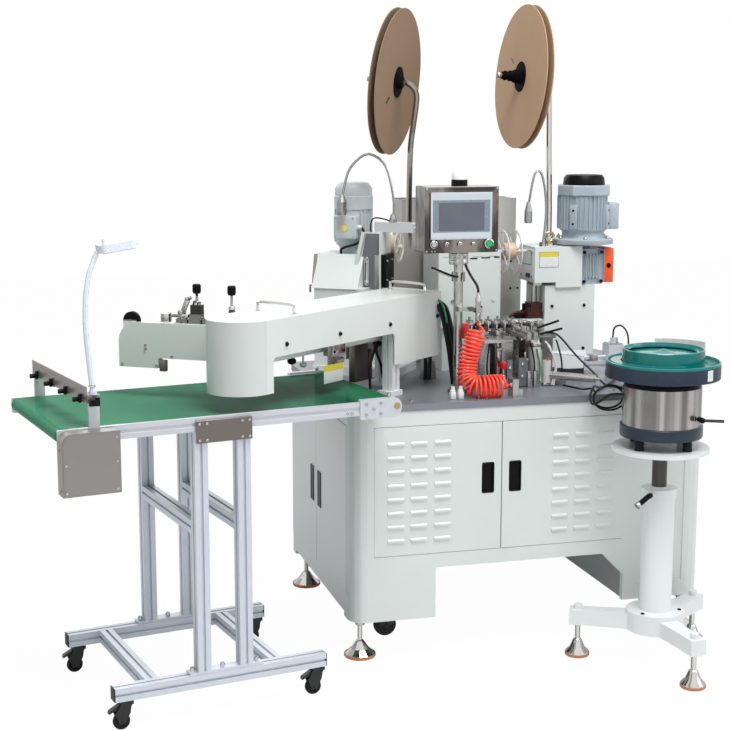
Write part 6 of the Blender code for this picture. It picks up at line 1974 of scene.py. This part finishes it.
def dress_drum(x, y):
    """The drum's rims, skin, seam, feet and connector, and the label on the bowl's skirt."""
    base = turned(
        ((0.1215, 0.778), (0.127, 0.7765), (0.1286, 0.7745), (0.1288, 0.744), (0.127, 0.7395), (0, 0.7395)),
        (x, y, 0), "Z", 80
    )
    piece("drum_base", [base], "bowl_rim", "bowl_column")
    skin = turned(
        ((0, 0.7762), (0.1222, 0.7762), (0.1222, 0.8985), (0.12, 0.9), (0, 0.9)), (x, y, 0), "Z", 96
    )
    piece("drum_skin", [skin], "drum_steel", "bowl_column")
    top = plug(0.119, 0.9, 0.9082, (x, y, 0), "Z", 80)
    piece("drum_top", [top], "black_plastic", "bowl_column")
    seam = block((0.1215, -0.004, 0.779), (0.123, 0.004, 0.898), 0.0004, 1)
    piece("drum_seam", [moved(seam, about(BOWL, math.radians(-60)))], "screw", "bowl_column")
    feet = []
    for angle in (205, 295, 25, 115):
        a = math.radians(angle)
        feet.append(turned(
            ((0, 0.7046), (0.0145, 0.7046), (0.0155, 0.706), (0.0138, 0.718), (0.0145, 0.727), (0.012, 0.74),
             (0, 0.74)), (x + 0.104 * math.cos(a), y + 0.104 * math.sin(a), 0), "Z", 24
        ))
    piece("drum_rubber_feet", feet, "rubber", "bowl_column")
    boss = turned(
        ((0, -0.027), (0.0075, -0.027), (0.0085, -0.0255), (0.0085, 0), (0, 0)), steps=24, axis="Y"
    )
    moved(boss, Matrix.Translation(Vector((x + 0.0745, y - 0.105, 0.806))))
    piece("drum_connector", [boss], "black_plastic", "bowl_column")
    label = block((0.1767, -0.013, 0.933), (0.1776, 0.013, 0.966), 0.0003, 1)
    piece("bowl_label", [moved(label, about(BOWL, math.radians(-63.7)))], "white_plastic", "feeder_bowl")


def dress_stand(x, y):
    """Pads, bells, bolts, column skins and lever of the feeder's stand."""
    pads = []
    bolts = []
    rods = []
    sunk = []
    for angle in (153.4, 273.1, 33.4):
        a = math.radians(angle)
        px, py = x + 0.2436 * math.cos(a), y + 0.2436 * math.sin(a)
        pads.append(turned(
            ((0, 0.0002), (0.0375, 0.0002), (0.04, 0.003), (0.04, 0.0095), (0.0385, 0.0112)), (px, py, 0),
            "Z", 40
        ))
        rods.append(turned(
            ((0.0392, 0.0105), (0.038, 0.014), (0.0238, 0.0285), (0.015, 0.05), (0.0138, 0.053),
             (0.0085, 0.057), (0.0085, 0.106)), (px, py, 0), "Z", 36
        ))
        bolts.append(hex_nut((px, py, 0.163), radius=0.0135, height=0.009))
        holes = math.radians(angle + 60)
        sunk.append(cap_screw(
            (x + 0.076 * math.cos(holes), y + 0.076 * math.sin(holes), 0.1722), "Z", 0.0062, 0.0035
        ))
    piece("stand_pads", pads, "pad")
    piece("stand_foot_bells", rods, "chrome")
    piece("stand_bolts", bolts, "screw")
    piece("stand_hub_screws", sunk, "dark_screw")
    skin = turned(
        ((0.0905, 0.108), (0.0916, 0.108), (0.0916, 0.1715), (0.0905, 0.1724), (0.0512, 0.1726),
         (0.0504, 0.174), (0.0504, 0.5395), (0.0544, 0.5412), (0.0544, 0.571), (0.03, 0.5714)), (x, y, 0),
        "Z", 64
    )
    piece("stand_column_skin", [skin], "white_enamel")
    collar = turned(
        ((0.0238, 0.5715), (0.03, 0.5715), (0.03, 0.5735), (0.0238, 0.5745), (0.0238, 0.5715)), (x, y, 0),
        "Z", 40
    )
    piece("stand_sleeve", [collar], "white_enamel")
    column = turned(((0.02352, 0.576), (0.02352, 0.679)), (x, y, 0), "Z", 56)
    piece("stand_inner_column", [column], "column_steel", "bowl_column")
    lever = smooth_path(
        ((x - 0.046, y - 0.037, 0.556), (x - 0.064, y - 0.0515, 0.555), (x - 0.1, y - 0.063, 0.535)), 6
    )
    tubing("stand_lever", [lever], 0.0086, "black_plastic")
    cap = turned(((0, 0), (0.011, 0), (0.011, 0.008), (0, 0.01)), (0, 0, 0), "Z", 24)
    moved(cap, towards((x - 0.098, y - 0.0625, 0.536), (-0.8, -0.27, -0.53)))
    piece("stand_lever_end", [cap], "screw")


class MACHINE_OT_feeder(bpy.types.Operator):
    """Build the bowl's spiral, the drum's rims and the stand's fittings"""

    bl_idname = "machine.feeder"
    bl_label = "Bowl feeder"

    def execute(self, context):
        build_bowl()
        dress_drum(BOWL.x, BOWL.y)
        dress_stand(BOWL.x, BOWL.y)
        return {"FINISHED"}


def fit_feed_track():
    """White plate, blocks, cylinder and lead of the track, and the housing's screws."""
    plate = tilted(
        block((0.174, -0.1466, 0.869), (0.3, -0.1456, 0.916), 0.0004, 1), 8.5, "Y", (0.236, -0.145, 0.8925)
    )
    edge = tilted(
        block((0.1726, -0.1456, 0.8676), (0.3014, -0.1448, 0.9174), 0.0003, 1), 8.5, "Y",
        (0.236, -0.145, 0.8925)
    )
    piece("track_white_plate", [plate], "white_plastic")
    piece("track_plate_edge", [edge], "dark_sheet")
    # a dark strip under the white plate, for the slot there and painted shade under the plate
    piece("track_slot_and_shade", [block((0.184, -0.15, 0.844), (0.299, -0.147, 0.869), 0.0005, 1)], "dark_sheet")
    rail = turned(((0, 0), (0.012, 0), (0.013, 0.001), (0.013, 0.165), (0.012, 0.166), (0, 0.166)), steps=28)
    shaft = turned(((0, 0.166), (0.006, 0.166), (0.006, 0.18), (0, 0.181)), steps=20)
    place = towards((0.126, -0.25, 0.87), (0.12, -0.11, 0))
    piece("table_cylinder", [moved(rail, place), moved(shaft, place)], "machined")
    parts = [
        block((0.398, -0.1382, 0.9455), (0.447, -0.0868, 0.948), 0.0008, 1),
        rod(0.011, 0.948, 0.964, (0.436, -0.098, 0), "Z", 20, 0.001),
        block((0.33, -0.129, 0.8885), (0.36, -0.096, 0.91), 0.0015),
        rod(0.0045, 0.25, 0.33, (0, -0.12, 0.896), "X", 14)
    ]
    piece("track_blocks", parts, "machined")
    connector = [block((0.4035, -0.1668, 0.864), (0.4415, -0.1642, 0.906), 0.0008, 1)]
    piece("track_connector", connector, "black_plastic")
    lead = smooth_path(
        ((0.422, -0.11, 0.966), (0.424, -0.118, 1), (0.44, -0.14, 1.01), (0.455, -0.16, 0.98),
         (0.452, -0.17, 0.92), (0.436, -0.172, 0.885)), 7
    )
    leads("track_lead", [lead], 0.003, "black_cable")
    spans = ((-0.034, -0.006, 1.233), (0.009, 0.041, 1.2345), (0.057, 0.077, 1.236))
    slits = [block((a, 0.099, z - 0.0022), (b, 0.1004, z + 0.0022), 0.0004, 1) for a, b, z in spans]
    piece("housing_slits", slits, "dark_screw")
    screws = [
        cap_screw((x, 0.0998, z), "Y", 0.0055, 0.0035, -1) for x, z in ((0.0083, 1.0604), (-0.098, 1.085))
    ]
    screws += [
        cap_screw((x, 0.2997, z), "Y", 0.004, 0.0025, -1) for x in (0.195, 0.222) for z in (0.9, 1, 1.1, 1.2)
    ]
    piece("housing_screws", screws, "dark_screw")
    lips = [
        block((-0.2245, 0.2985, 1.427), (0.2125, 0.302, 1.4325), 0.0008, 1),
        block((-0.2245, 0.418, 1.427), (0.2125, 0.4215, 1.4325), 0.0008, 1)
    ]
    piece("hopper_lips", lips, "sheet_steel")


class MACHINE_OT_feed_track(bpy.types.Operator):
    """Fit the right-hand track, its plate and the housing's screws"""

    bl_idname = "machine.feed_track"
    bl_label = "Feed track fittings"

    def execute(self, context):
        fit_feed_track()
        return {"FINISHED"}


class MACHINE_PT_looks(bpy.types.Panel):
    """Lists the machine's dressing steps"""

    bl_label = "Crimping Machine"
    bl_idname = "MACHINE_PT_looks"
    bl_space_type = "VIEW_3D"
    bl_region_type = "UI"
    bl_category = "Crimping"

    def draw(self, context):
        for group in ("machine_stage", "machine_finishes", "machine_reels", "machine_hose"):
            settings = getattr(context.scene, group)
            box = self.layout.box()
            for name in settings.__annotations__:
                box.prop(settings, name)
        for operator in OPERATORS:
            self.layout.operator(operator.bl_idname)


OPERATORS = (
    MACHINE_OT_stage, MACHINE_OT_finishes, MACHINE_OT_cords, MACHINE_OT_cabinet, MACHINE_OT_conveyor,
    MACHINE_OT_arm, MACHINE_OT_straightener, MACHINE_OT_reels, MACHINE_OT_motors, MACHINE_OT_presses,
    MACHINE_OT_panel, MACHINE_OT_centre, MACHINE_OT_feeder, MACHINE_OT_feed_track
)
GROUPS = {
    "machine_stage": StageSettings, "machine_finishes": FinishSettings, "machine_reels": ReelSettings,
    "machine_hose": HoseSettings
}


def register():
    for cls in (*GROUPS.values(), *OPERATORS, MACHINE_PT_looks):
        bpy.utils.register_class(cls)
    for name, group in GROUPS.items():
        setattr(bpy.types.Scene, name, PointerProperty(type=group))


def unregister():
    for name in GROUPS:
        delattr(bpy.types.Scene, name)
    for cls in (MACHINE_PT_looks, *reversed(OPERATORS), *GROUPS.values()):
        bpy.utils.unregister_class(cls)


def main():
    register()
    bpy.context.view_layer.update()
    for operator in OPERATORS:
        group, name = operator.bl_idname.split(".")
        getattr(getattr(bpy.ops, group), name)()


if __name__ == "__main__":
    main()
